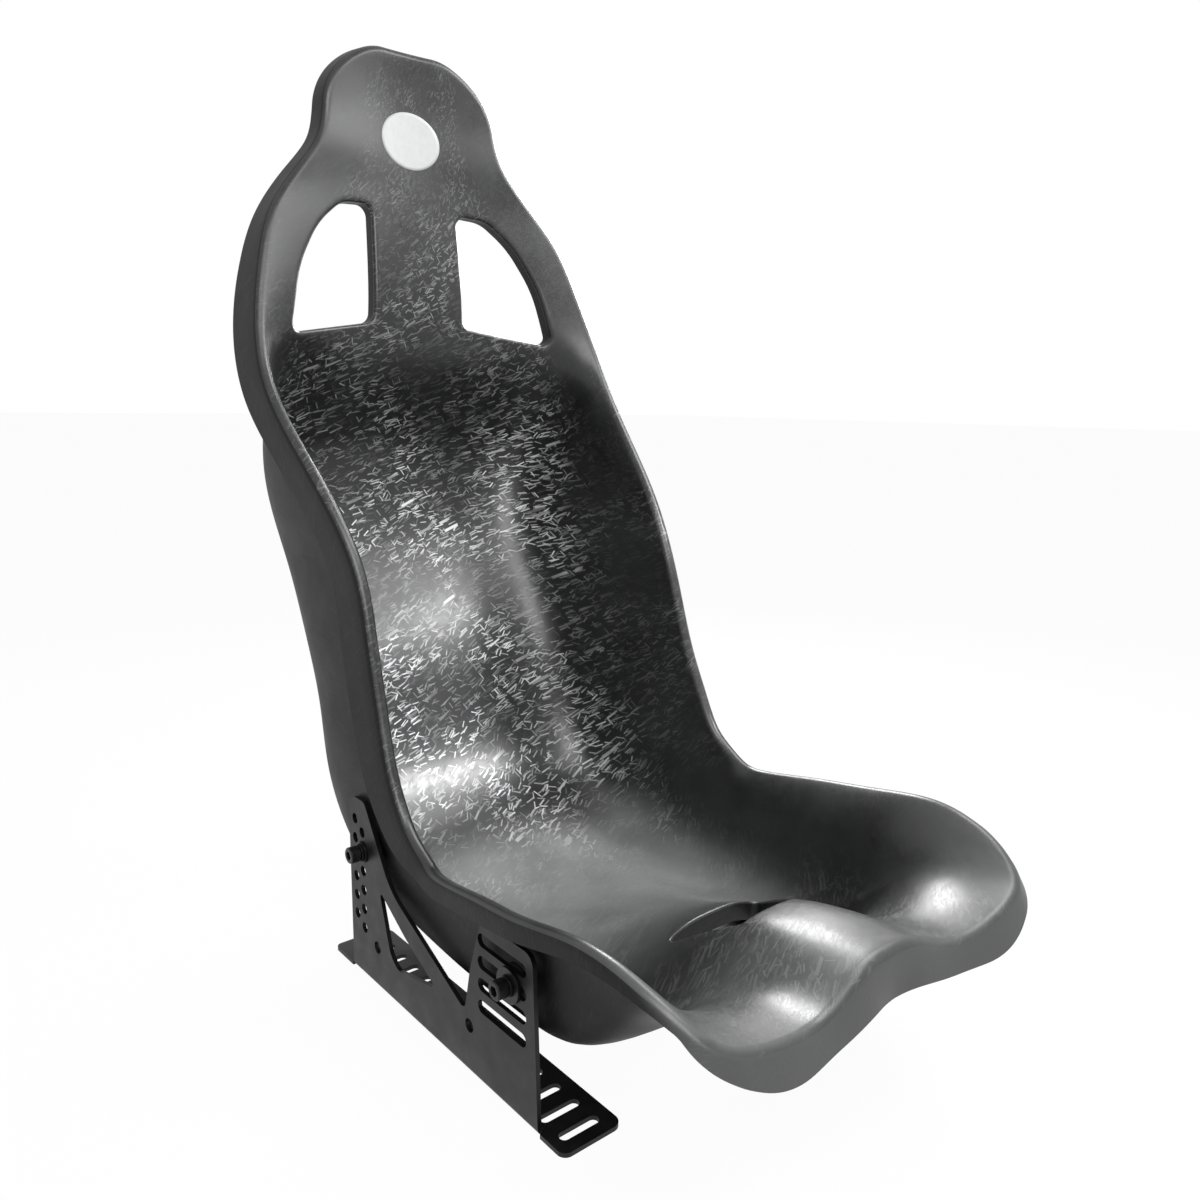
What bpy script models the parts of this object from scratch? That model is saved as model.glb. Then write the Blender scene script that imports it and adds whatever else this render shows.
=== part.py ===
"""Racing seat: a moulded composite shell on two bent steel side brackets.

Metres, +Z up. The sitter faces -Y, so +X is the sitter's left. x = 0 is the plane of symmetry
and z = 0 is the floor face of the brackets. Lengths below are in millimetres, and y is measured
from the brackets' rear hole column until an empty moves the whole seat to its origin.
"""
import math
from collections import namedtuple

import bmesh
import bpy
import numpy as np
from mathutils import Matrix, Vector
from mathutils.bvhtree import BVHTree

MM = 0.001
GAP = 0.3                      # clearance between pieces that touch on the real seat
MERGE = 1e-6                   # points closer than this, in metres, are one point
ORIGIN_Y = 117.5               # where the rear hole column stands, from the middle of the seat

# ---------------------------------------------------------------- shell
WALL = 4.5                     # laminate thickness
RIM_RADIUS = 7.0               # roll of the crest, on the sitter's side
RIM_SPLAY = 0.10               # how far the return flange opens outward, as a slope
FRONT_RADIUS = 11.0            # roll of the front edge
# Lip turned down along the front edge: share of the half-width, depth, and slope outward
FRONT_LIP = [(0.0, 28, 0.12), (0.16, 25, 0.28), (0.29, 17, 0.46), (0.42, 20, 0.46),
             (0.57, 20, 0.45), (0.72, 14, 0.45), (0.9, 8, 0.45), (1.0, 4, 0.40)]
HUMP_POWER = 3.0               # how flat the top of the hump between the thighs is
TOP_CORNER = (62.0, 0.62)      # rounding of the head: length along the shell, share of the width
FRONT_CORNER = (48.0, 0.30)    # rounding of the thigh lobes
LOBE_REACH = 10.5              # how far the lobes stand out in front of the middle
LOBE_MIDDLE = 0.53             # where the lobes stand out furthest, as a share of the half-width
FRONT_ZONE = 100.0             # length of shell over which the front edge takes that shape
ROWS, COLUMNS = 38, 12         # facets along the shell and across half of it
ROLL_STEPS, FLANGE_STEPS = 3, 1

# One line for each section of the shell, from the front edge to the top of the head. A section
# is cut square to the seat: its floor lies on the plane of symmetry, and its crest is the edge.
# flare is how far the crest stands out from the wall, square how full the corner of the section
# is, flange the length of the turned-back edge, and hump the rise of the pommel.
Section = namedtuple("Section", "floor_y floor_z crest_x crest_y crest_z flare square flange "
                                "hump hump_width")
SECTIONS = [
    Section(-472, 145, 203, -472, 183, 20, 2.3, 4, 26, 62),      # front edge
    Section(-440, 140, 204, -440, 192, 22, 2.6, 3, 30, 64),
    Section(-400, 124, 208, -400, 202, 24, 3.2, 6, 42, 70),
    Section(-350, 86, 210, -350, 201, 28, 4.9, 9, 66, 88),
    Section(-300, 57, 211, -300, 192, 28, 6.6, 11, 71, 102),
    Section(-240, 53, 208, -240, 183, 25, 7.2, 12, 49, 98),
    Section(-170, 52, 203, -170, 172, 19, 6.8, 12, 30, 100),     # pan
    Section(-80, 54, 200, -146, 176, 15, 6.2, 14, 14, 100),      # hip corner
    Section(14, 68, 200, -126, 187, 11, 5.6, 22, 4, 100),
    Section(86, 105, 199, -106, 204, 8, 5.6, 30, 0, 100),
    Section(131, 166, 199, -86, 238, 6, 5.6, 36, 0, 100),
    Section(158, 237, 196, -65, 287, 5, 5.2, 40, 0, 100),
    Section(194, 314, 194, -46, 345, 4, 5.2, 42, 0, 100),
    Section(235, 387, 193, -25, 404, 3, 5.3, 42, 0, 100),        # waist
    Section(258, 457, 199, 10, 460, 3, 5.6, 40, 0, 100),
    Section(254, 517, 208, 58, 514, 6, 4.7, 38, 0, 100),
    Section(224, 577, 215, 110, 575, 16, 3.0, 38, 0, 100),
    Section(200, 637, 209, 141, 637, 45, 2.4, 40, 0, 100),       # shoulders
    Section(198, 702, 193, 162, 702, 60, 2.1, 36, 0, 100),
    Section(203, 752, 172, 177, 754, 65, 2.0, 28, 0, 100),
    Section(207, 792, 142, 188, 792, 55, 2.0, 23, 0, 100),       # neck
    Section(210, 827, 114, 194, 827, 45, 2.0, 20, 0, 100),
    Section(213, 868, 101, 200, 868, 40, 2.0, 19, 0, 100),
    Section(213, 906, 95, 202, 906, 36, 2.0, 18, 0, 100),
    Section(211, 934, 87, 203, 934, 34, 2.0, 18, 0, 100),        # top of the head
]

# Harness opening of one shoulder, seen from the front: x, z and corner radius
OPENING = [(58, 649, 12), (54, 775, 12), (92, 772, 16), (124, 746, 40), (152, 699, 60),
           (168, 631, 9)]
# Opening for the strap between the legs, seen from above: half-width and y of its two ends
STRAP_REAR, STRAP_FRONT = (57.0, -296.0), (33.0, -358.0)
STRAP_CORNER = 6.0
OPENING_LIP, STRAP_LIP = 12.0, 16.0     # depth of the edges turned back round these openings
LIP_STEP = 11.0                # longest stretch of such an edge between two points

# ---------------------------------------------------------------- brackets
PLATE = 4.0                    # steel thickness
FACE_X = 196.0                 # outer face of a side plate
BEND_INSIDE = 2.0              # inside radius of the bend
BEND_STEPS = 3
BASE_REACH = 60.0              # outer face to the inner edge of the base
BASE_REAR, BASE_FRONT = 54.0, -334.0
PLATE_REAR, PLATE_FRONT = 12.0, -301.0
RELIEF = 2.0                   # notch between the upright plate and the ends of the base
COLUMN_TOP, UPRIGHT_TOP = 186.0, 151.0
BOLT_HOLE = 10.5
HOLE_PITCH = 20.0
HOLES_PER_COLUMN = 6
COLUMN_HOLES = [(0.0, 163.5), (-14.4, 153.5)]       # y and z of the top hole of each column
SLOT_REAR, SLOT_FRONT = -223.0, -279.0              # centres of the ends of the height slots
SLOT_WIDTH = 12.0
SLOT_TOP = 133.0
SLOTS = 4
LIGHTENING_HOLES = [(-40.0, 43.5), (-203.0, 45.5)]
LIGHTENING_HOLE = 12.5
BASE_SLOT = (14.0, 43.0)                            # ends, in from the outer face
BASE_SLOT_WIDTH = 9.5
BASE_SLOT_PITCH = 25.0
BASE_SLOTS = 4                 # at each end of the base
SLOT_MARGIN = {"rear": 39.0, "front": 17.0}         # end of the base to its first slot
# Edge between the two uprights and the window under it: y, height and corner radius
COLUMN_FOOT = [(-20, COLUMN_TOP, 9), (-68, 114, 70), (-196, 56, 6), (-205, 100, 40)]
WINDOW = [(-46, 107, 3), (-66, 47, 30), (-80, 38, 12), (-150, 53, 3), (-95, 78, 90)]
UPRIGHT_REAR = -222.0
HOLE_SIDES = 10

# ---------------------------------------------------------------- fixings
SCREW = 10.0
HEAD, HEAD_HEIGHT = 16.0, 10.0
HEX, HEX_DEPTH = 8.0, 5.0
SPRING, SPRING_THICK = 18.0, 2.2
WASHERS = {"front": (30.0, 2.5), "rear": (21.0, 2.0)}   # diameter and thickness
BORE = 10.6                    # through washers, spacers and inserts
SPACER, SPACER_THICK = 28.0, 3.0
PAD = 34.0                     # moulded pad round an insert
INSERT, INSERT_LENGTH, INSERT_WAIST = 16.0, 9.0, 14.4
HEAD_CHAMFER = 0.8
SCREW_SHORT = 1.0              # the screw stops this far short of the end of its insert
ROUND_SIDES, PAD_SIDES = 14, 22
FIXINGS = {"rear": (-14.4, 133.5), "front": (-263.0, 113.0)}
SPACER_FACE = FACE_X - PLATE - GAP
PAD_FACE = SPACER_FACE - SPACER_THICK - GAP


# ---------------------------------------------------------------- general helpers
def material(name, color, roughness, metallic=0.0):
    made = bpy.data.materials.new(name)
    made.use_nodes = True
    shader = made.node_tree.nodes["Principled BSDF"]
    shader.inputs["Base Color"].default_value = (*color, 1.0)
    shader.inputs["Roughness"].default_value = roughness
    shader.inputs["Metallic"].default_value = metallic
    return made


def add_object(name, mesh, collection, finish=None):
    made = bpy.data.objects.new(name, mesh)
    collection.objects.link(made)
    if finish:
        mesh.materials.append(finish)
    return made


def as_cutter(thing):
    thing.hide_render = True
    thing.display_type = "WIRE"
    return thing


def combine(thing, other, operation):
    step = thing.modifiers.new(other.name, "BOOLEAN")
    step.operation = operation
    step.object = other
    step.solver = "EXACT"


def rounded(corners, steps=4):
    """Closed outline from corners (u, v, radius): each corner becomes an arc."""
    outline = []
    for i, (u, v, radius) in enumerate(corners):
        here = Vector((u, v))
        before = (Vector(corners[i - 1][:2]) - here)
        after = (Vector(corners[(i + 1) % len(corners)][:2]) - here)
        half_turn = (math.pi - before.angle(after)) / 2
        room = 0.49 * min(before.length, after.length)
        radius = min(radius, room / math.tan(half_turn))
        if radius < 0.05:
            outline.append(here)
            continue
        start = here + before.normalized() * radius * math.tan(half_turn)
        middle = (before.normalized() + after.normalized()).normalized()
        centre = here + middle * radius / math.cos(half_turn)
        sweep = (start - centre).angle_signed(here + after.normalized() * radius
                                              * math.tan(half_turn) - centre)
        for k in range(steps + 1):
            turn = Matrix.Rotation(-sweep * k / steps, 2)
            outline.append(centre + turn @ (start - centre))
    return outline


def circle(u, v, diameter, sides):
    return [Vector((u + diameter / 2 * math.cos(2 * math.pi * k / sides),
                    v + diameter / 2 * math.sin(2 * math.pi * k / sides))) for k in range(sides)]


def slot(end_a, end_b, width, steps=4):
    """Outline of a slot between the centres of its round ends."""
    a, b = Vector(end_a), Vector(end_b)
    side = (b - a).normalized().orthogonal() * width / 2
    outline = []
    for centre, first in ((b, side), (a, -side)):
        for k in range(steps + 1):
            outline.append(centre + Matrix.Rotation(math.pi * k / steps, 2) @ first)
    return outline


def resampled(outline, step):
    """The same closed outline with points no further apart than a step."""
    points = []
    for a, b in zip(outline, outline[1:] + outline[:1]):
        count = max(1, math.ceil((b - a).length / step))
        points += [a.lerp(b, k / count) for k in range(count)]
    return points


def spread(outline, by):
    """Closed outline moved outward by a distance, each point along its own normal."""
    count = len(outline)
    area = sum(a.x * b.y - b.x * a.y for a, b in zip(outline, outline[1:] + outline[:1]))
    moved = []
    for k, here in enumerate(outline):
        along = (outline[(k + 1) % count] - outline[k - 1]).normalized()
        moved.append(here + Vector((along.y, -along.x)) * math.copysign(by, by * area))
    return moved


def turn_faces_out(bm):
    if bm.calc_volume(signed=True) < 0:
        bmesh.ops.reverse_faces(bm, faces=bm.faces)


def finished(bm, name):
    """Mesh of a bmesh that is done with."""
    mesh = bpy.data.meshes.new(name)
    bm.to_mesh(mesh)
    bm.free()
    return mesh


def flat_plate(name, outlines, thickness):
    """Mesh of a flat plate: the first outline is its edge, and the others are holes in it."""
    curve = bpy.data.curves.new(name, "CURVE")
    curve.dimensions = "2D"
    curve.fill_mode = "BOTH"
    curve.extrude = thickness * MM / 2
    for outline in outlines:
        path = curve.splines.new("POLY")
        path.points.add(len(outline) - 1)
        path.use_cyclic_u = True
        for point, (u, v) in zip(path.points, outline):
            point.co = (u * MM, v * MM, 0, 1)
    holder = bpy.data.objects.new(name, curve)
    bpy.context.scene.collection.objects.link(holder)
    evaluated = holder.evaluated_get(bpy.context.evaluated_depsgraph_get())
    mesh = bpy.data.meshes.new_from_object(evaluated)
    bpy.data.objects.remove(holder)
    bm = bmesh.new()
    bm.from_mesh(mesh)
    bmesh.ops.remove_doubles(bm, verts=bm.verts, dist=MERGE)
    turn_faces_out(bm)
    bm.to_mesh(mesh)
    bm.free()
    return mesh


def turned(name, profile, collection, finish=None, closed=False, sides=ROUND_SIDES):
    """Solid of revolution about Z from (radius, height) points, outer side running downward."""
    mesh = bpy.data.meshes.new(name)
    count = len(profile)
    edges = [(k, k + 1) for k in range(count - 1)] + ([(count - 1, 0)] if closed else [])
    mesh.from_pydata([(r * MM, 0, h * MM) for r, h in profile], edges, [])
    made = add_object(name, mesh, collection, finish)
    screw = made.modifiers.new("turn", "SCREW")
    screw.steps = screw.render_steps = sides
    screw.use_merge_vertices = True
    screw.merge_threshold = MERGE
    screw.use_smooth_shade = False
    return made


def ring_profile(bore, diameter, thickness):
    return [(bore / 2, thickness), (diameter / 2, thickness), (diameter / 2, 0), (bore / 2, 0)]


# ---------------------------------------------------------------- shell surface
def spline(values, knots, at):
    """Natural cubic spline through values at knots, read at one place."""
    count = len(knots)
    gaps = np.diff(knots)
    slopes = np.diff(values) / gaps
    matrix, right = np.eye(count), np.zeros(count)
    for i in range(1, count - 1):
        matrix[i, i - 1:i + 2] = gaps[i - 1], 2 * (gaps[i - 1] + gaps[i]), gaps[i]
        right[i] = 6 * (slopes[i] - slopes[i - 1])
    bend = np.linalg.solve(matrix, right)
    i = min(max(int(np.searchsorted(knots, at)) - 1, 0), count - 2)
    a, b = (knots[i + 1] - at) / gaps[i], (at - knots[i]) / gaps[i]
    return float(a * values[i] + b * values[i + 1]
                 + ((a ** 3 - a) * bend[i] + (b ** 3 - b) * bend[i + 1]) * gaps[i] ** 2 / 6)


TABLE = np.array(SECTIONS, float)
MIDDLES = (TABLE[:, 0:2] + TABLE[:, 3:5]) / 2
KNOTS = np.concatenate([[0], np.cumsum(np.linalg.norm(np.diff(MIDDLES, axis=0), axis=1))])
LENGTH = float(KNOTS[-1])


def section(along):
    return Section(*(spline(TABLE[:, k], KNOTS, along) for k in range(TABLE.shape[1])))


def facing(cut):
    """Direction from the floor of a section to its crest, towards the sitter."""
    return Vector((0, cut.crest_y - cut.floor_y, cut.crest_z - cut.floor_z)).normalized()


def shell_point(cut, across):
    """Point of the sitter's side of a section, across running from 0 in the middle to 1."""
    depth = math.hypot(cut.crest_y - cut.floor_y, cut.crest_z - cut.floor_z)
    lean = math.atan2(depth, cut.flare * cut.square)
    edge_x = cut.crest_x - RIM_RADIUS * math.sin(lean)
    edge_depth = depth - RIM_RADIUS * (1 - math.cos(lean))
    side, down = math.sin(across * math.pi / 2), max(math.cos(across * math.pi / 2), 0.0)
    size = (side ** cut.square + down ** cut.square) ** (-1 / cut.square)
    rise = 1 - down * size
    x = (edge_x - cut.flare) * side * size + cut.flare * rise ** cut.square
    hump = cut.hump * math.exp(-(x / cut.hump_width) ** HUMP_POWER)
    return Vector((x, cut.floor_y, cut.floor_z)) + facing(cut) * (edge_depth * rise + hump)


def front_share(across):
    """1 along the front edge, falling to 0 at its corners."""
    return 1 - across ** 4


def trimmed(along, across):
    """Draws the corners of the flat grid in to the round corners of the shell."""
    for end, inward, (length, share) in ((0.0, 1, FRONT_CORNER), (LENGTH, -1, TOP_CORNER)):
        a = (across - (1 - share)) / share
        b = 1 - abs(along - end) / length
        if a > 0 and b > 0:
            across = 1 - share + share * a * math.sqrt(1 - b * b / 2)
            along = end + inward * length * (1 - b * math.sqrt(1 - a * a / 2))
    lobe = math.sin(math.pi / 2 * across / LOBE_MIDDLE) ** 2
    reach = LOBE_REACH * lobe - (FRONT_RADIUS - RIM_RADIUS) * front_share(across)
    return along - reach * max(0.0, 1 - along / FRONT_ZONE) ** 2, across


def shell_grid():
    """Rows of points of the half on +X, and the section that each point belongs to."""
    points, cuts = [], []
    for i in range(ROWS + 1):
        row, row_cuts = [], []
        for j in range(COLUMNS + 1):
            along, across = trimmed(LENGTH * i / ROWS, j / COLUMNS)
            cut = section(along)
            row.append(shell_point(cut, across))
            row_cuts.append(cut)
        points.append(row)
        cuts.append(row_cuts)
    return points, cuts


def edge_places():
    """Grid places along the open edge: the front edge, the side, then the top edge."""
    places = [(0, j) for j in range(COLUMNS)]
    places += [(i, COLUMNS) for i in range(ROWS)]
    places += [(ROWS, j) for j in range(COLUMNS, -1, -1)]
    return places


def inward_of(i, j):
    """Grid place one step in from a place on the edge."""
    return (1 if i == 0 else ROWS - 1 if i == ROWS else i,
            COLUMNS - 1 if j == COLUMNS else j)


def rim_rows(points, cuts):
    """For each point of the edge, the points of the rolled rim outside it."""
    places = edge_places()
    edge = [points[i][j] for i, j in places]
    mirror, lip = Vector((-1, 1, 1)), np.array(FRONT_LIP, float)
    path = [edge[1] * mirror] + edge + [edge[-2] * mirror]
    rows = []
    for k, (i, j) in enumerate(places):
        here = edge[k]
        tangent = (path[k + 2] - path[k]).normalized()
        inner_i, inner_j = inward_of(i, j)
        outward = here - points[inner_i][inner_j]
        outward = (outward - tangent * outward.dot(tangent)).normalized()
        normal = outward.cross(tangent).normalized()
        cut = cuts[i][j]
        back = -facing(cut)
        sideways = (outward - back * outward.dot(back)).normalized()
        radius, splay, length = RIM_RADIUS, RIM_SPLAY, cut.flange
        if i == 0:
            radius += (FRONT_RADIUS - RIM_RADIUS) * front_share(j / COLUMNS)
            length, splay = (spline(lip[:, k], lip[:, 0], j / COLUMNS) for k in (1, 2))
        away = (back + sideways * splay)
        away = (away - tangent * away.dot(tangent)).normalized()
        turn = math.atan2(away.dot(-normal), away.dot(outward))
        centre = here - normal * radius
        row = []
        for step in range(1, ROLL_STEPS + 1):
            angle = turn * step / ROLL_STEPS
            row.append(centre + (normal * math.cos(angle) + outward * math.sin(angle)) * radius)
        for step in range(1, FLANGE_STEPS + 1):
            row.append(row[ROLL_STEPS - 1] + away * length * step / FLANGE_STEPS)
        rows.append(row)
    return rows


def shell_surface():
    """Open half of the shell: the dish the sitter touches, and the rolled rim round it."""
    points, cuts = shell_grid()
    bm = bmesh.new()
    dish = [[bm.verts.new(p * MM) for p in row] for row in points]
    for i in range(ROWS):
        for j in range(COLUMNS):
            bm.faces.new((dish[i][j], dish[i][j + 1], dish[i + 1][j + 1], dish[i + 1][j]))
    rim = [[dish[i][j]] + [bm.verts.new(p * MM) for p in row]
           for (i, j), row in zip(edge_places(), rim_rows(points, cuts))]
    for near, far in zip(rim, rim[1:]):
        for k in range(len(near) - 1):
            bm.faces.new((near[k], near[k + 1], far[k + 1], far[k]))
    for vert in bm.verts:
        if abs(vert.co.x) < MERGE:
            vert.co.x = 0.0
    return finished(bm, "shell")


def wall_reach(tree, y, z, radius):
    """How far out the inner face of a side wall gets, within a radius of a point."""
    reach = 0.0
    for k in range(8):
        angle = math.pi * k / 4
        start = Vector((0, y + radius * math.cos(angle), z + radius * math.sin(angle))) * MM
        hit = tree.ray_cast(start, Vector((1, 0, 0)))[0]
        if hit:
            reach = max(reach, hit.x / MM)
    return reach


def bar(name, diameter, start, end, side, y, z, collection):
    """Round bar along X between two distances from the plane of symmetry."""
    bm = bmesh.new()
    bmesh.ops.create_cone(bm, cap_ends=True, segments=PAD_SIDES, radius1=diameter * MM / 2,
                          radius2=diameter * MM / 2, depth=(end - start) * MM)
    made = add_object(name, finished(bm, name), collection)
    made.rotation_euler = (0, math.pi / 2, 0)
    made.location = (side * (start + end) / 2 * MM, y * MM, z * MM)
    return as_cutter(made)


def add_pads(shell, tree, cutters):
    """Moulded pads on the side walls, with a pocket in each for its bonded insert."""
    for side in (1, -1):
        for place, (y, z) in FIXINGS.items():
            inner = wall_reach(tree, y, z, PAD / 2)
            pad = bar(f"pad_{place}_{side}", PAD, inner + WALL / 8, PAD_FACE, side, y, z, cutters)
            pocket = bar(f"pocket_{place}_{side}", INSERT + 2 * GAP,
                         PAD_FACE - INSERT_LENGTH - GAP, PAD_FACE + PAD, side, y, z, cutters)
            combine(shell, pad, "UNION")
            combine(shell, pocket, "DIFFERENCE")


def turned_lip(name, outline, from_front, tree, depth, cutters):
    """Lip round an opening, turned back from the laminate. It starts half way into the wall."""
    back = Vector((0, 1, 0)) if from_front else Vector((0, 0, -1))
    outline = resampled(outline, LIP_STEP)
    bm = bmesh.new()
    rings = []
    for by, sink in ((-GAP, WALL / 2), (WALL, WALL / 2), (WALL, depth), (-GAP, depth)):
        ring = []
        for u, v in spread(outline, by):
            start = Vector((abs(u), 0, v)) if from_front else Vector((abs(u), v, COLUMN_TOP))
            hit = tree.ray_cast(start * MM, back)[0] + back * sink * MM
            ring.append(bm.verts.new((math.copysign(hit.x, u), hit.y, hit.z)))
        rings.append(ring)
    for near, far in zip(rings, rings[1:] + rings[:1]):
        for k in range(len(near)):
            n = (k + 1) % len(near)
            bm.faces.new((near[k], near[n], far[n], far[k]))
    turn_faces_out(bm)
    return as_cutter(add_object(name, finished(bm, name), cutters))


def prism(name, outline, length, cutters):
    """Cutter with this outline that runs along its own Z from 0 to a length."""
    mesh = flat_plate(name, [outline], length)
    mesh.transform(Matrix.Translation((0, 0, length / 2 * MM)))
    return as_cutter(add_object(name, mesh, cutters))


def add_openings(shell, tree, cutters):
    """Harness openings at the shoulders and the strap's opening in the pan, with their lips."""
    behind = TABLE[:, Section._fields.index("floor_y")].max()
    above = TABLE[0, Section._fields.index("crest_z")]
    (rear, rear_y), (front, front_y) = STRAP_REAR, STRAP_FRONT
    strap = rounded([(x, y, STRAP_CORNER) for x, y in
                     ((-rear, rear_y), (rear, rear_y), (front, front_y), (-front, front_y))])
    lips, cuts = [], []
    for name, side in (("left", 1), ("right", -1)):
        outline = rounded([(side * x, z, radius) for x, z, radius in OPENING])
        lips.append(turned_lip(f"lip_{name}", outline, True, tree, OPENING_LIP, cutters))
        cut = prism(f"opening_{name}", outline, behind, cutters)
        cut.rotation_euler = (math.pi / 2, 0, 0)
        cut.location = (0, behind * MM, 0)
        cuts.append(cut)
    lips.append(turned_lip("lip_strap", strap, False, tree, STRAP_LIP, cutters))
    cuts.append(prism("opening_strap", strap, above, cutters))
    for lip in lips:
        combine(shell, lip, "UNION")
    for cut in cuts:
        combine(shell, cut, "DIFFERENCE")


def build_shell(collection, cutters, finish):
    surface = shell_surface()
    shell = add_object("shell", surface, collection, finish)
    for polygon in surface.polygons:
        polygon.use_smooth = True
    mirror = shell.modifiers.new("mirror", "MIRROR")
    mirror.merge_threshold = MERGE
    solid = shell.modifiers.new("wall", "SOLIDIFY")
    solid.thickness = WALL * MM
    solid.offset = -1.0
    solid.use_even_offset = False
    tree = BVHTree.FromPolygons([v.co for v in surface.vertices],
                                [p.vertices for p in surface.polygons])
    add_pads(shell, tree, cutters)
    add_openings(shell, tree, cutters)
    return shell


# ---------------------------------------------------------------- brackets
def bracket_outlines():
    """Edge and holes of the flat blank: y along the seat, w up the plate from the floor."""
    bend_top = BEND_INSIDE + PLATE
    bend_end = bend_top - (BEND_INSIDE + PLATE / 2) * math.pi / 2
    outer = bend_end + bend_top
    base_edge = outer - BASE_REACH
    edge = rounded([
        (BASE_REAR, base_edge, 14), (BASE_REAR, outer, 6), (PLATE_REAR + RELIEF, outer, 1),
        (PLATE_REAR + RELIEF, bend_end, 0.5), (PLATE_REAR, bend_end, 0.5),
        (PLATE_REAR, COLUMN_TOP, 15), *COLUMN_FOOT, (UPRIGHT_REAR, UPRIGHT_TOP, 6),
        (PLATE_FRONT + 8, UPRIGHT_TOP, 11), (PLATE_FRONT, bend_end, 0.5),
        (PLATE_FRONT - RELIEF, bend_end, 0.5), (PLATE_FRONT - RELIEF, outer, 1),
        (BASE_FRONT, outer, 8), (BASE_FRONT, base_edge, 9)])
    holes = [circle(y, top - HOLE_PITCH * k, BOLT_HOLE, HOLE_SIDES)
             for y, top in COLUMN_HOLES for k in range(HOLES_PER_COLUMN)]
    holes += [slot((SLOT_REAR, SLOT_TOP - HOLE_PITCH * k), (SLOT_FRONT, SLOT_TOP - HOLE_PITCH * k),
                   SLOT_WIDTH) for k in range(SLOTS)]
    holes += [circle(y, z, LIGHTENING_HOLE, HOLE_SIDES) for y, z in LIGHTENING_HOLES]
    holes.append(rounded(WINDOW))
    near, far = (outer - reach for reach in BASE_SLOT)
    for k in range(BASE_SLOTS):
        for y in (BASE_REAR - SLOT_MARGIN["rear"] - BASE_SLOT_PITCH * k,
                  BASE_FRONT + SLOT_MARGIN["front"] + BASE_SLOT_PITCH * k):
            holes.append(slot((y, near), (y, far), BASE_SLOT_WIDTH))
    return [edge] + holes, bend_top, bend_end


def fold(mesh, side, bend_top, bend_end):
    """Bends the flat blank into an upright plate and a base turned in under the seat."""
    bm = bmesh.new()
    bm.from_mesh(mesh)
    for k in range(BEND_STEPS + 1):
        w = bend_top + (bend_end - bend_top) * k / BEND_STEPS
        geometry = bm.verts[:] + bm.edges[:] + bm.faces[:]
        bmesh.ops.bisect_plane(bm, geom=geometry, plane_co=(0, w * MM, 0), plane_no=(0, 1, 0),
                               dist=MERGE)
    neutral = BEND_INSIDE + PLATE / 2
    outside = BEND_INSIDE + PLATE
    for vert in bm.verts:
        y, w, depth = vert.co.x / MM, vert.co.y / MM, PLATE / 2 - vert.co.z / MM
        in_plate = PLATE_FRONT - RELIEF / 2 < y < PLATE_REAR + RELIEF / 2
        if w <= bend_end or not in_plate:
            x, z = FACE_X - outside - (bend_end - w), depth
        elif w >= bend_top:
            x, z = FACE_X - depth, w
        else:
            angle = (bend_top - w) / neutral
            x = FACE_X - outside + (outside - depth) * math.cos(angle)
            z = outside - (outside - depth) * math.sin(angle)
        vert.co = Vector((side * x, y, z)) * MM
    turn_faces_out(bm)
    bm.to_mesh(mesh)
    bm.free()


def build_bracket(name, side, collection, finish):
    outlines, bend_top, bend_end = bracket_outlines()
    mesh = flat_plate(name, outlines, PLATE)
    fold(mesh, side, bend_top, bend_end)
    return add_object(name, mesh, collection, finish)


# ---------------------------------------------------------------- fixings
def place_outward(thing, x, side, y, z):
    """Stands a solid that was made along Z on a distance from the plane of symmetry."""
    thing.rotation_euler = (0, side * math.pi / 2, 0)
    thing.location = (side * x * MM, y * MM, z * MM)


def build_ring(name, profile, x, side, y, z, collection, finish):
    ring = turned(name, profile, collection, finish, closed=True)
    place_outward(ring, x, side, y, z)
    return ring


def insert_profile():
    """Bonded insert with a groove round its middle, which locks it in the laminate."""
    length, full, waist = INSERT_LENGTH, INSERT / 2, INSERT_WAIST / 2
    return [(BORE / 2, length), (full, length), (full, length * 0.7), (waist, length * 0.6),
            (waist, length * 0.4), (full, length * 0.3), (full, 0), (BORE / 2, 0)]


def build_screw(name, head_x, side, y, z, collection, cutters, finish):
    """Cap screw with a hexagon socket. Its head stands on head_x."""
    shank = head_x - (PAD_FACE - INSERT_LENGTH) - SCREW_SHORT
    head, body, chamfer = HEAD / 2, SCREW / 2, HEAD_CHAMFER
    screw = turned(name, [(0, HEAD_HEIGHT), (head - chamfer, HEAD_HEIGHT),
                          (head, HEAD_HEIGHT - chamfer), (head, 0), (body, 0),
                          (body, chamfer - shank), (body - chamfer, -shank), (0, -shank)],
                   collection, finish)
    place_outward(screw, head_x, side, y, z)
    bm = bmesh.new()
    across_corners = HEX / math.cos(math.pi / 6)
    bmesh.ops.create_cone(bm, cap_ends=True, segments=6, radius1=across_corners / 2 * MM,
                          radius2=across_corners / 2 * MM, depth=2 * HEX_DEPTH * MM)
    socket = as_cutter(add_object(f"socket_{name}", finished(bm, name), cutters))
    place_outward(socket, head_x + HEAD_HEIGHT, side, y, z)
    combine(screw, socket, "DIFFERENCE")
    return screw


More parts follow.
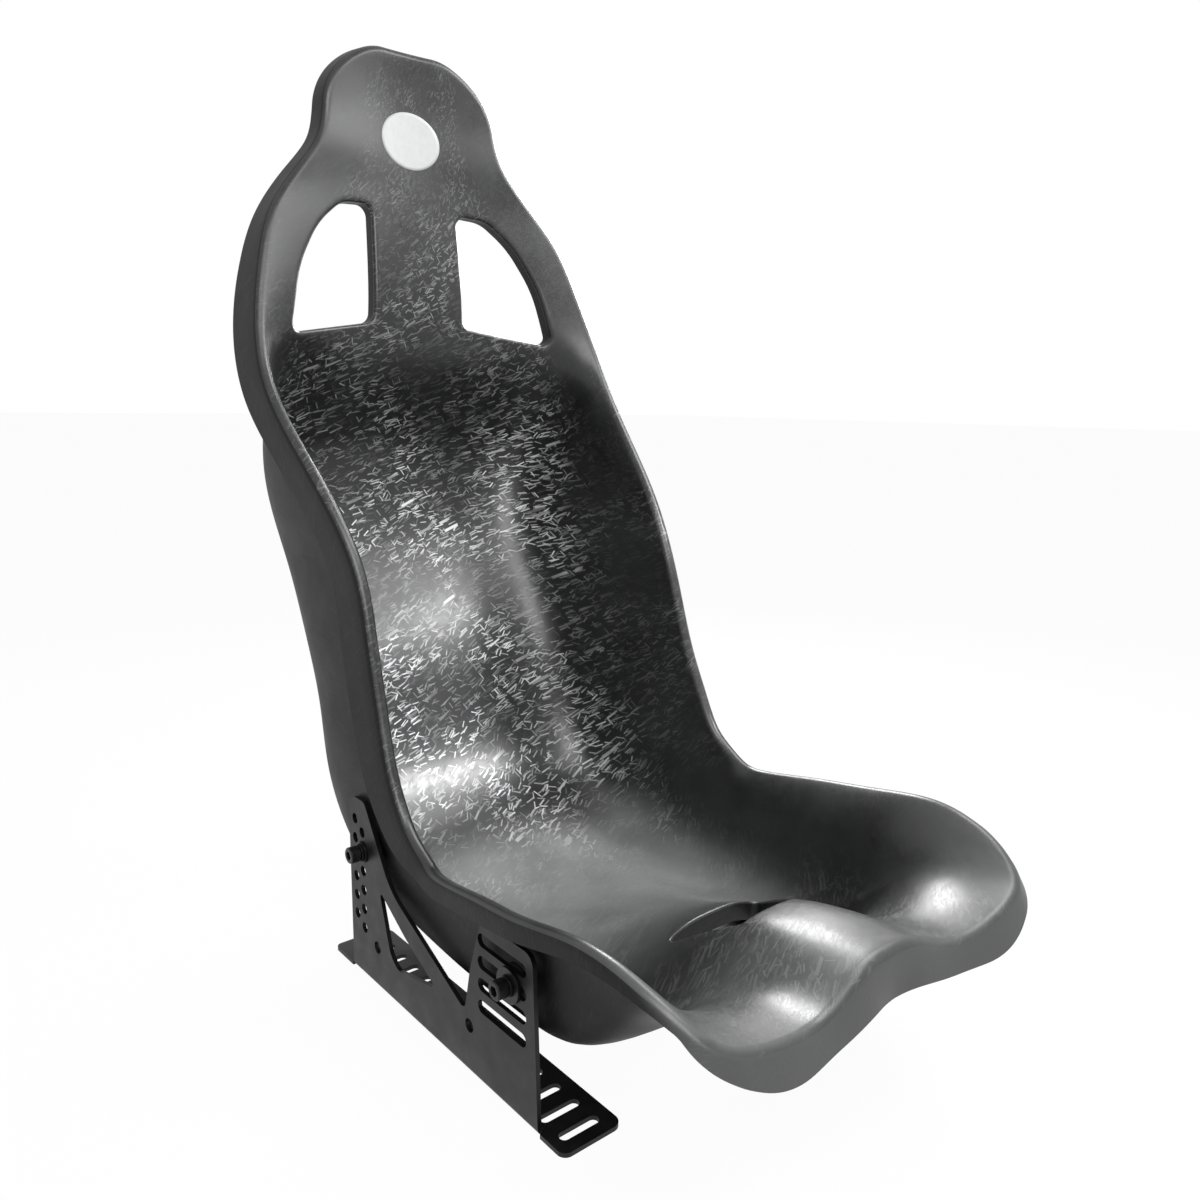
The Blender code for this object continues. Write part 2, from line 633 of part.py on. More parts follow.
def build_fixing(tag, side, place, collection, cutters, finishes):
    """One bolted joint, from the insert in the shell out to the head of the screw."""
    y, z = FIXINGS[place]
    diameter, thick = WASHERS[place]
    washer_x = FACE_X + GAP
    spring_x = washer_x + thick + GAP
    head_x = spring_x + SPRING_THICK + GAP
    rings = [
        (f"insert_{tag}", insert_profile(), PAD_FACE - INSERT_LENGTH, "insert"),
        (f"spacer_{tag}", ring_profile(BORE, SPACER, SPACER_THICK), SPACER_FACE - SPACER_THICK,
         "spacer"),
        (f"washer_{tag}", ring_profile(BORE, diameter, thick), washer_x, "steel"),
        (f"spring_washer_{tag}", ring_profile(BORE, SPRING, SPRING_THICK), spring_x, "steel")]
    pieces = [build_ring(name, profile, x, side, y, z, collection, finishes[finish])
              for name, profile, x, finish in rings]
    pieces.append(build_screw(f"screw_{tag}", head_x, side, y, z, collection, cutters,
                              finishes["steel"]))
    return pieces


def main():
    for thing in list(bpy.data.objects):
        bpy.data.objects.remove(thing, do_unlink=True)
    seat = bpy.data.collections.new("racing_seat")
    cutters = bpy.data.collections.new("racing_seat_cutters")
    for collection in (seat, cutters):
        bpy.context.scene.collection.children.link(collection)
    laminate = material("laminate", (0.035, 0.036, 0.038), 0.30)
    powder = material("powder_coat", (0.012, 0.012, 0.013), 0.45)
    finishes = {"steel": material("black_steel", (0.010, 0.010, 0.011), 0.40, 0.6),
                "insert": material("zinc_steel", (0.45, 0.44, 0.42), 0.35, 1.0),
                "spacer": material("nylon", (0.020, 0.020, 0.020), 0.55)}
    pieces = [build_shell(seat, cutters, laminate)]
    for name, side in (("left", 1), ("right", -1)):
        pieces.append(build_bracket(f"bracket_{name}", side, seat, powder))
        for place in FIXINGS:
            pieces += build_fixing(f"{place}_{name}", side, place, seat, cutters, finishes)
    origin = bpy.data.objects.new("seat_origin", None)
    seat.objects.link(origin)
    for piece in pieces + list(cutters.objects):
        piece.parent = origin
    origin.location = (0, ORIGIN_Y * MM, 0)


main()
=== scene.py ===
"""Looks of the racing seat: fine shell, folded brackets, fixings, materials, light and camera.

Metres, +Z up, the sitter faces -Y. Lengths in the tables are in millimetres, and y is measured
from the rear hole column of the brackets, which stands ORIGIN_Y behind the seat's origin.
"""
import math

import bmesh
import bpy
import numpy as np
from mathutils import Matrix, Vector
from mathutils.bvhtree import BVHTree
from mathutils.geometry import delaunay_2d_cdt


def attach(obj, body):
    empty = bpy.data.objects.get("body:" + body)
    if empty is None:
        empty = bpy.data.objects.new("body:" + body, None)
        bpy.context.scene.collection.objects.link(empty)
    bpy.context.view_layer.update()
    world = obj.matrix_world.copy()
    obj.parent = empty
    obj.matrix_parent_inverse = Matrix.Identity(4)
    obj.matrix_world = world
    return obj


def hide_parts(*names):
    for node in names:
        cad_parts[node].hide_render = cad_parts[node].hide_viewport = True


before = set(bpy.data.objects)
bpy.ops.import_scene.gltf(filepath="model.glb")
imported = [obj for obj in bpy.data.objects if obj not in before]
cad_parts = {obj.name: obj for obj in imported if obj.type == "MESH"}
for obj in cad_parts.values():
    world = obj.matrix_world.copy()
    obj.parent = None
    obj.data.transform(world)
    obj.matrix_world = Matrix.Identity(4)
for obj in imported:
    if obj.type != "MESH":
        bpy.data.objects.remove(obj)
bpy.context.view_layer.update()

MM = 0.001
GAP = 0.3  # clearance between pieces that touch on the real seat
ORIGIN_Y = 117.5  # where the rear hole column stands, from the middle of the seat

# Softened edges: width, steps, and the least angle in degrees of an edge that is softened
SHELL_SOFT, PLATE_SOFT, TURNED_SOFT = (0.7, 2, 50), (0.5, 3, 40), (0.25, 2, 35)

# ---------------- shell
WALL = 4.5  # laminate thickness
RIM_RADIUS = 7.0  # roll of the crest, on the sitter's side
RIM_SPLAY = 0.10  # how far the return flange opens outward, as a slope
FRONT_RADIUS = 11.0  # roll of the front edge
# Lip turned down along the front edge: share of the half-width, depth, and slope outward
FRONT_LIP = np.array([(0.0, 28, 0.12), (0.16, 25, 0.28), (0.29, 17, 0.46), (0.42, 20, 0.46),
                      (0.57, 20, 0.45), (0.72, 14, 0.45), (0.9, 8, 0.45), (1.0, 4, 0.40)])
LIP_FADE = 40.0  # stretch of the side over which the flange leaves the lip's slope
HUMP_POWER = 3.0  # how flat the top of the hump between the thighs is
TOP_CORNER = (62.0, 0.62)  # rounding of the head: length along the shell, share of the width
FRONT_CORNER = (48.0, 0.30)  # rounding of the thigh lobes
LOBE_REACH = 10.5  # how far the lobes stand out in front of the middle
LOBE_MIDDLE = 0.53  # where the lobes stand out furthest, as a share of the half-width
FRONT_ZONE = 100.0  # length of shell over which the front edge takes that shape
HALF_GIRTH = 260.0  # half-width of the shell laid flat
GRID_STEP = 5.0  # spacing of the mesh of the dish
ROLL_STEPS, FLANGE_STEPS = 8, 3
EDGE_STEPS, RETURN_STEPS = 5, 4
EDGE_MARGIN = 3.0  # even strip outside the rolled edge of an opening
SAME_SIDE = 90.0  # an opening reaches no further than this from its own middle
OUTLINE_STEP = 3.5  # spacing of the points round an opening
CLEAR = 2.0  # least gap from the edge of an opening to the grid round it
NEWTON_ROUNDS, NEWTON_STEPS = 25, (0.5, 0.002)  # when a place is sought on the shell
INWARD_STEP = 0.02  # how far in from the edge its slope is measured, as a share
SATIN_FROM = ROLL_STEPS - 2  # row of the rim where the gloss gives way to satin

# floor_y floor_z crest_x crest_y crest_z flare square flange hump hump_width, front to head
SECTIONS = np.array([
    (-472, 145, 203, -472, 183, 20, 2.3, 4, 26, 62),
    (-440, 140, 204, -440, 192, 22, 2.6, 3, 30, 64),
    (-400, 124, 208, -400, 202, 24, 3.2, 6, 42, 70),
    (-350, 86, 210, -350, 201, 28, 4.9, 9, 66, 88),
    (-300, 57, 211, -300, 192, 28, 6.6, 11, 71, 102),
    (-240, 53, 208, -240, 183, 25, 7.2, 12, 49, 98),
    (-170, 52, 203, -170, 172, 19, 6.8, 12, 30, 100),
    (-80, 54, 200, -146, 176, 15, 6.2, 14, 14, 100),
    (14, 68, 200, -126, 187, 11, 5.6, 22, 4, 100),
    (86, 105, 199, -106, 204, 8, 5.6, 30, 0, 100),
    (131, 166, 199, -86, 238, 6, 5.6, 36, 0, 100),
    (158, 237, 196, -65, 287, 5, 5.2, 40, 0, 100),
    (194, 314, 194, -46, 345, 4, 5.2, 42, 0, 100),
    (235, 387, 193, -25, 404, 3, 5.3, 42, 0, 100),
    (258, 457, 199, 10, 460, 3, 5.6, 40, 0, 100),
    (254, 517, 208, 58, 514, 6, 4.7, 38, 0, 100),
    (224, 577, 215, 110, 575, 16, 3.0, 38, 0, 100),
    (200, 637, 209, 141, 637, 45, 2.4, 40, 0, 100),
    (198, 702, 193, 162, 702, 60, 2.1, 36, 0, 100),
    (203, 752, 172, 177, 754, 65, 2.0, 28, 0, 100),
    (207, 792, 142, 188, 792, 55, 2.0, 23, 0, 100),
    (210, 827, 114, 194, 827, 45, 2.0, 20, 0, 100),
    (213, 868, 101, 200, 868, 40, 2.0, 19, 0, 100),
    (213, 906, 95, 202, 906, 36, 2.0, 18, 0, 100),
    (211, 934, 87, 203, 934, 34, 2.0, 18, 0, 100),
], float)
FLOOR_Y, FLOOR_Z, CREST_X, CREST_Y, CREST_Z, FLARE, SQUARE, FLANGE, HUMP, HUMP_WIDTH = range(10)

# Harness opening of one shoulder, seen from the front: x, z and corner radius
HARNESS = [(58, 649, 12), (54, 775, 12), (92, 772, 36), (124, 746, 110), (152, 699, 150),
           (168, 631, 9)]
# Opening for the strap between the legs, seen from above: x, y and corner radius
STRAP = [(-57, -296, 6), (57, -296, 6), (33, -358, 6), (-33, -358, 6)]
# Where the search for each starts: length along the shell, and share of the half-width
HARNESS_START, STRAP_START, DISC_START = (900.0, 0.9), (150.0, 0.7), (1200.0, 0.5)
EDGE_ROLL, EDGE_RETURN = 5.0, 12.0  # round of a harness opening's edge, and depth of its lip
STRAP_ROLL, STRAP_RETURN = 3.0, 16.0

# ---------------- brackets
PLATE = 4.0  # steel thickness
FACE_X = 196.0  # outer face of a side plate
BEND_INSIDE = 2.0  # inside radius of the bend
BEND_STEPS = 8
BASE_REACH = 60.0  # outer face to the inner edge of the base
BASE_REAR, BASE_FRONT = 54.0, -334.0
PLATE_REAR, PLATE_FRONT = 12.0, -301.0
RELIEF = 2.0  # notch between the upright plate and the ends of the base
COLUMN_TOP, UPRIGHT_TOP = 186.0, 151.0
BOLT_HOLE = 10.5
HOLE_PITCH = 20.0
HOLES_PER_COLUMN = 6
COLUMN_HOLES = [(0.0, 163.5), (-14.4, 153.5)]  # y and z of the top hole of each column
SLOT_REAR, SLOT_FRONT = -223.0, -279.0  # centres of the ends of the height slots
SLOT_WIDTH = 12.0
SLOT_TOP = 133.0
SLOTS = 4
LIGHTENING_HOLES = [(-40.0, 43.5), (-203.0, 45.5)]
LIGHTENING_HOLE = 12.5
BASE_SLOT = (14.0, 43.0)  # ends, in from the outer face
BASE_SLOT_WIDTH = 9.5
BASE_SLOT_PITCH = 25.0
BASE_SLOTS = 4  # at each end of the base
SLOT_MARGIN = {"rear": 39.0, "front": 17.0}  # end of the base to its first slot
# Edge between the two uprights and the window under it: y, height and corner radius
COLUMN_FOOT = [(-20, COLUMN_TOP, 9), (-68, 114, 70), (-196, 56, 6), (-205, 100, 40)]
WINDOW = [(-46, 107, 3), (-66, 47, 30), (-80, 38, 12), (-150, 53, 3), (-95, 78, 90)]
UPRIGHT_REAR = -222.0
HOLE_SIDES = 28

# ---------------- fixings
SCREW = 10.0
HEAD, HEAD_HEIGHT = 16.0, 10.0
HEX, HEX_DEPTH = 8.0, 5.0
HEAD_CHAMFER, HEAD_FOOT = 0.9, 0.3
SPRING, SPRING_THICK = 18.0, 2.2
SPRING_SPLIT = 0.4  # how far the ends of a spring washer stand apart
WASHERS = {"front": (30.0, 2.5), "rear": (21.0, 2.0)}  # diameter and thickness
BORE = 10.6  # through washers, spacers and inserts
SPACER_THICK = 3.0
PAD = 34.0  # moulded pad round an insert
INSERT, INSERT_LENGTH = 16.0, 9.0
INSERT_HOLE = 16.6
PAD_CHAMFER = 1.0
INSERT_COVER = 0.8  # least laminate between an insert and the sitter
SCREW_SHORT = 0.6  # the screw stops this far short of the end of its insert
ROUND_SIDES = 48
FIXINGS = {"rear": (-14.4, 133.5), "front": (-263.0, 113.0)}
SPACER_FACE = FACE_X - PLATE - GAP
PAD_FACE = SPACER_FACE - SPACER_THICK - GAP

DISC_CENTRE_Z = 849.0  # blank disc on the head
DISC_HALF = (36.5, 30.5)  # half its width and half its height
DISC_RINGS, DISC_SIDES = 10, 72
OFF_MIDDLE = 1e-6  # keeps its points off the middle line, where x has no sign
FILM, FILM_THICK = 0.35, 0.5  # how far it stands proud, and its thickness

# ---------------- finishes, in metres
# Steel: colour, colour of the wear, and how metallic it is
BLACK_STEEL = (0.011, 0.011, 0.012), (0.09, 0.085, 0.08), 0.5
ZINC_STEEL = (0.45, 0.44, 0.42), (0.30, 0.29, 0.27), 1.0
# Chopped fibres: angle from the length of the seat, share of cells, length and width
FIBRES = [(66, 0.10, 0.028, 0.0050), (58, 0.16, 0.022, 0.0030), (74, 0.20, 0.017, 0.0022),
          (64, 0.30, 0.014, 0.0020), (84, 0.22, 0.012, 0.0019), (48, 0.22, 0.013, 0.0020),
          (30, 0.14, 0.011, 0.0019), (112, 0.12, 0.012, 0.0019), (150, 0.10, 0.012, 0.0019)]
# Where they fade: from this length along the shell to that one, down to a share
FIBRE_FADES = [(0.34, 0.56, 0.06), (0.96, 0.84, 0.28), (1.17, 1.05, 0.35)]
SIDE_FADE = (0.20, 0.14, 0.12)  # the same across the shell, from its middle line: the fibres' painted glints dim towards the side walls as painted shade
PATCH_FADE = (0.42, 0.58, 0.25)  # and in patches, by the value of a noise
PAN_PAINTED_GLOSS = [(0.16, 0.33), (0.47, 0.41)]  # painted reflection on the pan: along the shell, from none to full
PAN_HALF = (0.18, 0.10)  # across it
LIP_PAINTED_GLOSS = [(0.16, 0.03, 0.3), (-0.03, 0.0, 1.0)]  # painted reflection on the ridge of the lip: the same along the front, with the most
FACE_PAINTED_GLOSS = 0.26  # how strong the painted reflection on the face of the lip is

# ---------------- stage, in metres
CAMERA_AT = (-0.6129, -0.8612 + ORIGIN_Y * MM, 0.5675)
CAMERA_YAW, CAMERA_PITCH, CAMERA_ROLL = 40.09, 11.165, 0.946
FOCAL = 30.37
WHITE = (1, 1, 1, 1)
SOFT_LIGHT = 0.25  # strength of the world's light on the seat
FLOOR_REACH, FLOOR_DROP = 30.0, 0.0005
FLOOR_GLOW = 0.96  # share of the backdrop's white in the floor, the rest is its shadow
# Lamps: place, aim, width and height, watts, and how wide the beam spreads in degrees
LAMPS = {
    "front": ((-0.56, -0.97, 1.36), (0.0, 0.1, 0.4), (0.9, 0.9), 16, 180),
    "hip": ((0.50, -0.42, 0.80), (-0.03, 0.24, 0.08), (0.3, 0.35), 0.32, 18),
    "corner": ((0.72, -0.14, 1.38), (0.0, 0.1, 0.2), (0.6, 0.6), 10, 180),
    "behind": ((0.80, 0.70, 1.00), (0.08, 0.02, 0.1), (0.5, 0.5), 18, 180),
    "above": ((0.15, -0.75, 1.5), (0.0, -0.3, 0.2), (1.2, 0.5), 7, 180),
}


# ---------------- materials
class Nodes:
    """Short way to write the nodes of a material or of the world."""

    def __init__(self, owner):
        owner.use_nodes = True
        self.owner, self.tree = owner, owner.node_tree
        self.shader = self.tree.nodes.get("Principled BSDF")

    def add(self, kind, inputs=None, **settings):
        node = self.tree.nodes.new(kind)
        for key, value in settings.items():
            setattr(node, key, value)
        for key, value in (inputs or {}).items():
            self.feed(node.inputs[key], value)
        return node

    def feed(self, socket, value):
        if isinstance(value, bpy.types.NodeSocket):
            self.tree.links.new(value, socket)
        else:
            socket.default_value = value

    def set(self, **inputs):
        for key, value in inputs.items():
            self.feed(self.shader.inputs[key.replace("_", " ")], value)

    def position(self):
        return self.add("ShaderNodeTexCoord").outputs["Object"]

    def flat_map(self):
        return self.add("ShaderNodeUVMap", uv_map="flat").outputs["UV"]

    def noise(self, vector, scale, detail=2.0, roughness=0.5, output="Fac"):
        return self.add("ShaderNodeTexNoise", {"Vector": vector, "Scale": scale, "Detail": detail,
                                               "Roughness": roughness}).outputs[output]

    def split(self, vector):
        return self.add("ShaderNodeSeparateXYZ", {"Vector": vector}).outputs

    def remap(self, value, low, high, to_low=0.0, to_high=1.0, smooth=False):
        inputs = {"Value": value, "From Min": low, "From Max": high, "To Min": to_low,
                  "To Max": to_high}
        return self.add("ShaderNodeMapRange", inputs,
                        interpolation_type="SMOOTHSTEP" if smooth else "LINEAR").outputs["Result"]

    def math(self, operation, a, b=0.0):
        return self.add("ShaderNodeMath", {0: a, 1: b}, operation=operation).outputs[0]

    def product(self, *factors):
        total = factors[0]
        for factor in factors[1:]:
            total = self.math("MULTIPLY", total, factor)
        return total

    def vector(self, operation, a, b):
        return self.add("ShaderNodeVectorMath", {0: a, 1: b}, operation=operation).outputs[0]

    def mix_colour(self, share, a, b):
        return self.add("ShaderNodeMix", {0: share, 6: a, 7: b}, data_type="RGBA").outputs[2]

    def bump(self, height, distance, strength=1.0, below=None):
        inputs = {"Height": height, "Distance": distance, "Strength": strength}
        if below is not None:
            inputs["Normal"] = below
        return self.add("ShaderNodeBump", inputs).outputs["Normal"]


def new_material(name):
    """Nodes of a new material."""
    return Nodes(bpy.data.materials.new(name))


def flakes(nodes, flat, layers):
    """Short straight chopped fibres. A layer is an angle in degrees, the share of its cells that
    hold one, and their length and width. Gives a mask, and a mask that is shaded for each."""
    total, shades = 0.0, 0.0
    for degrees, share, length, width in layers:
        turned = nodes.add("ShaderNodeVectorRotate", {"Vector": flat,
                                                      "Angle": -math.radians(degrees)},
                           rotation_type="Z_AXIS")
        cell = nodes.vector("MULTIPLY", turned.outputs[0], (1 / length, 1 / width, 0))
        cells = nodes.add("ShaderNodeTexVoronoi", {"Vector": cell, "Scale": 1.0},
                          voronoi_dimensions="2D", distance="CHEBYCHEV")
        pick = nodes.add("ShaderNodeSeparateColor", {"Color": cells.outputs["Color"]})
        chosen = nodes.math("GREATER_THAN", pick.outputs[0], 1 - share)
        body = nodes.remap(cells.outputs["Distance"], 0.34, 0.28)
        mask = nodes.math("MULTIPLY", chosen, body)
        shade = nodes.math("MULTIPLY", mask, nodes.math("POWER", pick.outputs[1], 2.2))
        total = nodes.math("MAXIMUM", mask, total)
        shades = nodes.math("MAXIMUM", shade, shades)
    return total, shades


def warped(nodes, flat, scale, reach):
    """The flat map bent a little, so that no fibre is quite straight."""
    swirl = nodes.noise(flat, scale, 1.0, output="Color")
    swirl = nodes.vector("SUBTRACT", swirl, (0.5, 0.5, 0.5))
    return nodes.vector("ADD", flat, nodes.vector("MULTIPLY", swirl, (reach, reach, reach)))


def faded(nodes, value, start, end, least=0.0, most=1.0):
    """Smooth change from the least to the most between two values."""
    return nodes.remap(value, start, end, least, most, smooth=True)


def fibre_amount(nodes, along, aside):
    """Where the fibres show: most on the back, less on the pan, the head and the side walls, where
    the dimming is painted shade.
    """
    patches = nodes.noise(nodes.flat_map(), 11.0, 3.0)
    return nodes.product(*[faded(nodes, along, *fade) for fade in FIBRE_FADES],
                         faded(nodes, aside, *SIDE_FADE), faded(nodes, patches, *PATCH_FADE))


def painted_gloss_zones(nodes, along, aside):
    """Share of painted reflection, broken up by a noise: on the pan, and on the ridge of its lip.
    """
    pan = nodes.product(*[faded(nodes, along, *ends) for ends in PAN_PAINTED_GLOSS],
                        faded(nodes, aside, *PAN_HALF))
    front = nodes.product(*[faded(nodes, along, start, end, 0.0, most)
                            for start, end, most in LIP_PAINTED_GLOSS])
    grain = nodes.noise(nodes.flat_map(), 16.0, 4.0, 0.6)
    return nodes.math("MULTIPLY", nodes.math("MAXIMUM", pan, front),
                      nodes.remap(grain, 0.3, 0.7, 0.6, 1.0))


def painted_gloss_tint(nodes, gloss_share, base, rough):
    """Colour lightened by a share as a painted reflection, with the roughness raised a little."""
    colour = nodes.mix_colour(gloss_share, base, (0.20, 0.203, 0.203, 1))
    return colour, nodes.math("ADD", rough, nodes.math("MULTIPLY", gloss_share, 0.12))


def laminate_material():
    """Gloss dark laminate, its chopped fibres painted pale as painted glints, with a painted
    reflection on the pan and its lip.
    """
    nodes = new_material("laminate_inside")
    at = nodes.position()
    flat = nodes.split(nodes.flat_map())
    along, aside = flat["X"], nodes.math("ABSOLUTE", flat["Y"])
    mask, shade = flakes(nodes, warped(nodes, nodes.flat_map(), 14.0, 0.006), FIBRES)
    amount, gloss_share = fibre_amount(nodes, along, aside), painted_gloss_zones(nodes, along, aside)
    lit = nodes.math("MULTIPLY", shade, amount)
    cloud = nodes.remap(nodes.noise(at, 18.0, 4.0, 0.6), 0.3, 0.7)
    base = nodes.mix_colour(cloud, (0.009, 0.009, 0.0095, 1), (0.018, 0.0185, 0.019, 1))
    rough = nodes.remap(cloud, 0, 1, 0.27, 0.34)
    # painted reflection on the pan and the ridge of the lip: lighter colour, a little rougher
    base, rough = painted_gloss_tint(nodes, gloss_share, base, rough)
    # the fibres' pale colour is a painted glint, dimmed towards the side walls as painted shade
    colour = nodes.mix_colour(lit, base, (0.80, 0.81, 0.81, 1))
    normal = nodes.bump(nodes.noise(at, 120.0, 1.0), 0.0004, 0.12)
    normal = nodes.bump(nodes.noise(at, 900.0, 2.0), 0.00006, 0.3, normal)
    normal = nodes.bump(nodes.math("MULTIPLY", mask, amount), 0.0002, 0.5, normal)
    rough = nodes.math("ADD", rough, nodes.math("MULTIPLY", mask, 0.06))
    nodes.set(Base_Color=colour, Roughness=rough, Normal=normal, Specular_IOR_Level=0.5)
    return nodes.owner


def laminate_back_material():
    """Outside of the shell: the laminate in satin, painted darker than the inside as painted
    shade, with a painted reflection on the face of its lip that turns forward.
    """
    nodes = new_material("laminate_outside")
    at = nodes.position()
    mask, shade = flakes(nodes, nodes.flat_map(), FIBRES[:4])
    cloud = nodes.remap(nodes.noise(at, 22.0, 4.0, 0.6), 0.3, 0.7)
    turn = nodes.split(nodes.add("ShaderNodeTexCoord").outputs["Normal"])
    # the face of the lip that turns forward is painted lighter: painted light on the side that
    # faces the lamps
    front = nodes.product(faded(nodes, nodes.split(at)["Y"], -0.24, -0.32),
                          faded(nodes, turn["Y"], -0.15, -0.62))
    # painted darker than the inside laminate: painted shade for the flange and the outside of the
    # tub
    base = nodes.mix_colour(cloud, (0.005, 0.005, 0.0055, 1), (0.009, 0.009, 0.0095, 1))
    # fibres faintly painted pale: painted glints
    base = nodes.mix_colour(nodes.math("MULTIPLY", shade, 0.04), base, (0.20, 0.20, 0.20, 1))
    colour, rough = painted_gloss_tint(nodes, nodes.math("MULTIPLY", front, FACE_PAINTED_GLOSS), base,
                          nodes.remap(cloud, 0, 1, 0.46, 0.56))
    rough = nodes.math("SUBTRACT", rough, nodes.math("MULTIPLY", front, 0.16))
    normal = nodes.bump(nodes.noise(at, 260.0, 3.0), 0.00025, 0.3)
    normal = nodes.bump(mask, 0.00012, 0.3, normal)
    nodes.set(Base_Color=colour, Roughness=rough, Normal=normal,
              Specular_IOR_Level=nodes.remap(front, 0, 1, 0.22, 0.5))
    return nodes.owner


def plain_finish(name, first, second, cloud, mix, rough, grain, relief, **settings):
    """Finish whose colour and roughness follow a cloudy noise, with a fine grain in relief."""
    nodes = new_material(name)
    at = nodes.position()
    clouds = nodes.noise(at, *cloud)
    colour = nodes.mix_colour(nodes.remap(clouds, *mix), (*first, 1), (*second, 1))
    normal = nodes.bump(nodes.noise(at, *grain), *relief)
    nodes.set(Base_Color=colour, Roughness=nodes.remap(clouds, *rough), Normal=normal, **settings)
    return nodes.owner


def powder_coat_material():
    """Satin black powder coat with a fine leathery skin and faint paler blotches."""
    return plain_finish("powder_coat", (0.004, 0.004, 0.0045), (0.008, 0.008, 0.0085),
                        cloud=(45.0, 4.0, 0.6), mix=(0.48, 0.72), rough=(0.3, 0.7, 0.36, 0.50),
                        grain=(700.0, 3.0, 0.55), relief=(0.0001, 0.5), Specular_IOR_Level=0.3)


def steel_material(name, colour, wear, metallic):
    """Blackened or plated steel with turning marks and a little wear."""
    return plain_finish(name, colour, wear, cloud=(140.0, 4.0, 0.65), mix=(0.58, 0.72, 0, 0.35),
                        rough=(0.3, 0.7, 0.28, 0.46), grain=(1500.0, 2.0), relief=(0.00005, 0.5),
                        Metallic=metallic)


def nylon_material():
    """Dull black nylon, slightly cloudy."""
    return plain_finish("nylon", [0.016] * 3, [0.028] * 3, cloud=(90.0, 3.0), mix=(0, 1),
                        rough=(0, 1, 0.48, 0.62), grain=(1100.0, 2.0), relief=(0.00008, 0.5))


def disc_material():
    """Blank pale film, softly mottled."""
    return plain_finish("blank_disc", (0.40, 0.41, 0.41), (0.50, 0.51, 0.51),
                        cloud=(160.0, 4.0, 0.6), mix=(0, 1), rough=(0, 1, 0.34, 0.46),
                        grain=(1400.0, 2.0), relief=(0.00005, 0.4))


# ---------------- outlines
def rounded(corners, steps=10):
    """Closed outline from corners (u, v, radius): each corner becomes an arc."""
    outline = []
    for i, (u, v, radius) in enumerate(corners):
        here = Vector((u, v))
        before = Vector(corners[i - 1][:2]) - here
        after = Vector(corners[(i + 1) % len(corners)][:2]) - here
        half_turn = (math.pi - before.angle(after)) / 2
        room = 0.49 * min(before.length, after.length)
        radius = min(radius, room / math.tan(half_turn))
        reach = radius * math.tan(half_turn)
        start, end = here + before.normalized() * reach, here + after.normalized() * reach
        middle = (before.normalized() + after.normalized()).normalized()
        centre = here + middle * radius / math.cos(half_turn)
        sweep = (start - centre).angle_signed(end - centre)
        for k in range(steps + 1):
            outline.append(centre + Matrix.Rotation(-sweep * k / steps, 2) @ (start - centre))
    return outline


def circle(u, v, diameter, sides):
    """Closed outline of a round hole."""
    return [Vector((u + diameter / 2 * math.cos(2 * math.pi * k / sides),
                    v + diameter / 2 * math.sin(2 * math.pi * k / sides))) for k in range(sides)]


def slot(end_a, end_b, width, steps=12):
    """Closed outline of a slot, from the centres of its round ends."""
    a, b = Vector(end_a), Vector(end_b)
    side = (b - a).normalized().orthogonal() * width / 2
    outline = []
    for centre, first in ((b, side), (a, -side)):
        for k in range(steps + 1):
            outline.append(centre + Matrix.Rotation(-math.pi * k / steps, 2) @ first)
    return outline


def resampled(outline, step):
    """The same closed outline with points no further apart than a step."""
    points = []
    for a, b in zip(outline, outline[1:] + outline[:1]):
        count = max(1, math.ceil((b - a).length / step))
        points += [a.lerp(b, k / count) for k in range(count)]
    return np.array([tuple(p) for p in points])


def distance_to(outline, points):
    """Distance of each point from a closed outline, negative inside."""
    a, b = outline, np.roll(outline, -1, axis=0)
    best = np.full(len(points), np.inf)
    inside = np.zeros(len(points), bool)
    for (ax, ay), (bx, by) in zip(a, b):
        edge = np.array((bx - ax, by - ay))
        to = points - (ax, ay)
        share = np.clip(to @ edge / (edge @ edge + 1e-12), 0, 1)
        best = np.minimum(best, np.hypot(*(to - share[:, None] * edge).T))
        crosses = (ay > points[:, 1]) != (by > points[:, 1])
        with np.errstate(divide="ignore", invalid="ignore"):
            at = ax + (points[:, 1] - ay) * (bx - ax) / (by - ay)
        inside ^= crosses & (points[:, 0] < at)
    return np.where(inside, -best, best)


def spread(outline, by):
    """Outline moved outward by a distance, each point along its own normal."""
    ahead, behind = np.roll(outline, -1, axis=0), np.roll(outline, 1, axis=0)
    along = ahead - behind
    normal = np.stack([along[:, 1], -along[:, 0]], axis=1)
    normal /= np.linalg.norm(normal, axis=1)[:, None] + 1e-12
    area = np.sum(outline[:, 0] * ahead[:, 1] - ahead[:, 0] * outline[:, 1])
    return outline + normal * by * (1 if area > 0 else -1)


